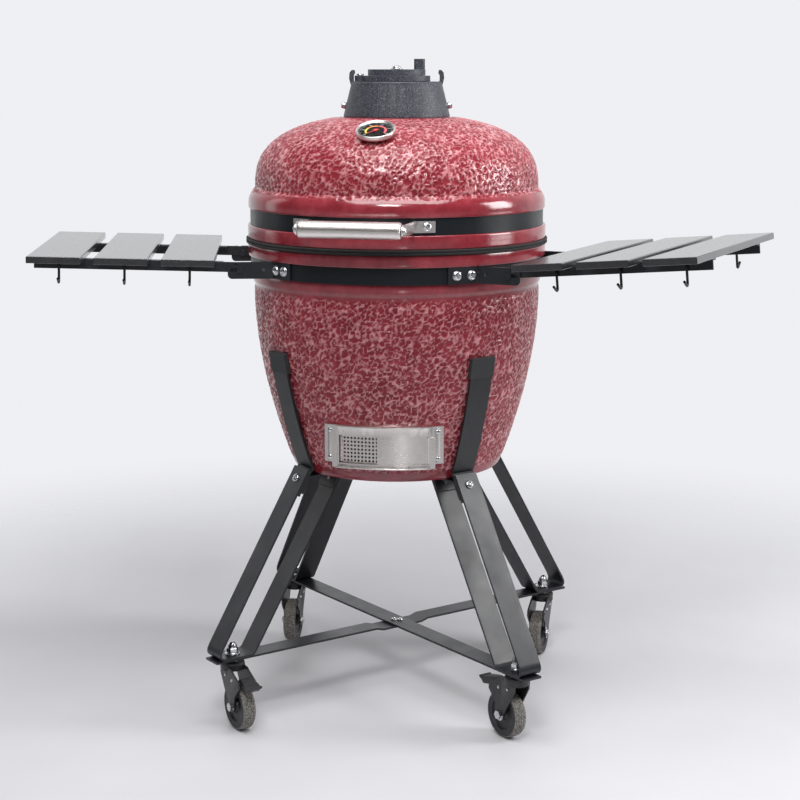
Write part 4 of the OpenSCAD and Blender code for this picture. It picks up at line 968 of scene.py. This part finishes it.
pointer = [(-0.006, -0.0008), (-0.004, -0.0009), (0.018, -0.0005), (0.0229, 0), (0.018, 0.0005),
           (-0.004, 0.0009), (-0.006, 0.0008)]
count = len(pointer)
points = [(x, y, 0.0104) for x, y in pointer] + [(x, y, 0.0111) for x, y in pointer]
faces = [tuple(range(count))[::-1], tuple(range(count, 2 * count))]
faces += [(k, (k + 1) % count, (k + 1) % count + count, k + count) for k in range(count)]
turn_back = Matrix.Rotation(math.radians(222), 4, "Z")
boss = turned([(0, 0.0091), (0.0014, 0.0091), (0.0014, 0.0102), (0.0032, 0.0102), (0.0035, 0.0105), (0.0034, 0.0112),
               (0.0026, 0.0114), (0, 0.0114)], 32)
points, faces = joined([(points, faces, turn_back), (*boss, Matrix.Identity(4))])
piece("dial_pointer", points, faces, ink("pointer_red", (0.62, 0.05, 0.04)), "needle",
      "thermometer_needle", dial_axis)

lens_glass, tree, shader = finish("lens_glass", roughness=0.03, colour=(1, 1, 1), Transmission_Weight=1.0, IOR=1.04)
haze = grain(tree, 60, detail=2)
ramp(tree, haze.outputs["Fac"], shader.inputs["Roughness"], [(0.3, 0.0), (0.7, 0.02)])
points, faces = turned([(0.0, 0.012), (0.0303, 0.012), (0.0304, 0.0122), (0.0304, 0.0128), (0.02, 0.0132),
                        (0.0, 0.0133)], 96)
piece("thermometer_lens", points, faces, lens_glass, "lid", "thermometer_lens", dial_axis)

# ---- Vent ----
# A cast-iron cap on the chimney: a tapered base with two ears, a plate that
# swings aside on one bolt, and a wheel on it that lines up six holes.
softened("vent_base", "vent_base", cast_iron, "lid", round_by=0.0012)
softened("vent_plate", "vent_plate", cast_iron, "vent_plate", round_by=0.0008)
softened("vent_wheel", "vent_wheel", cast_iron, "vent_wheel", round_by=0.0008)
softened("vent_wheel_screw", "vent_wheel_screw", zinc_plate, "vent_plate", round_by=0.0006)

# ---- Shelf brackets ----
# Black steel arms bolted to the lower band, slotted and notched so that the
# shelves lock level or drop.
softened("shelf_brackets", "shelf_brackets", cart_coat, "root", round_by=0.0006)

# ---- Side shelves ----
# Three boards coated in smooth dark grey, screwed to two black angle rails,
# with bent wire hooks below them; each shelf folds on pins in the brackets.
board_coat, tree, shader = finish("board_coat", roughness=0.3, colour=(0.03, 0.03, 0.034), Coat_Weight=0.7,
                                  Coat_Roughness=0.16)
board_grain = grain(tree, 55, stretch=(1, 0.12, 1), detail=7, rough=0.65)
board_peel = grain(tree, 420, detail=2)
ramp(tree, board_grain.outputs["Fac"], shader.inputs["Base Color"],
     [(0.3, (0.018, 0.018, 0.021)), (0.55, (0.026, 0.026, 0.03)), (0.75, (0.04, 0.04, 0.044))])
ramp(tree, board_peel.outputs["Fac"], shader.inputs["Roughness"], [(0.3, 0.26), (0.7, 0.38)])
bumped(tree, shader, board_peel.outputs["Fac"], 0.00008, 0.2)
for hand, flip, sweep, tilt in (("left", -1, 13.5, 1.7), ("right", 1, 16.8, 5.2)):
    body = "shelf_" + hand
    softened(body + "_rails", body + "_rails", cart_coat, body, round_by=0.0006)
    softened(body + "_slats", body + "_slats", board_coat, body, round_by=0.0014)
    shelf = (Matrix.Scale(flip, 4, (1, 0, 0)) @ Matrix.Rotation(math.radians(-sweep), 4, "Z")
             @ Matrix.Translation((0.29, 0, 0.833)) @ Matrix.Rotation(math.radians(-tilt), 4, "Y"))
    hooks = []
    hook_r = 0.0035
    for k in range(3):
        for back in (1, -1):
            x = 0.333 + 0.046 + 0.115 * k - 0.29
            y, z = -0.1466, 0.0034
            bend = [(x, y - 0.0002, z), (x, y - 0.001, z), (x, y - 0.0017, z - 0.0005),
                    (x, y - 0.0024, z - 0.0018)]
            bend += [(x, y - 0.0024, z - s) for s in np.linspace(0.004, 0.0285, 9)]
            for a in np.linspace(0, math.radians(122), 10)[1:]:
                bend.append((x, y - 0.0024 - hook_r * (1 - math.cos(a)), z - 0.0285 - hook_r * math.sin(a)))
            last = Vector(bend[-1])
            rise = Vector((0, -math.sin(math.radians(58)), math.cos(math.radians(58)))) * 0.0145
            bend += [tuple(last + rise * s) for s in (0.35, 0.7, 1.0)]
            hooks.append([tuple(shelf @ Vector((p[0], p[1] * back, p[2]))) for p in bend])
    wire(body + "_hooks", hooks, 0.0023, cart_coat, body, body + "_hooks")
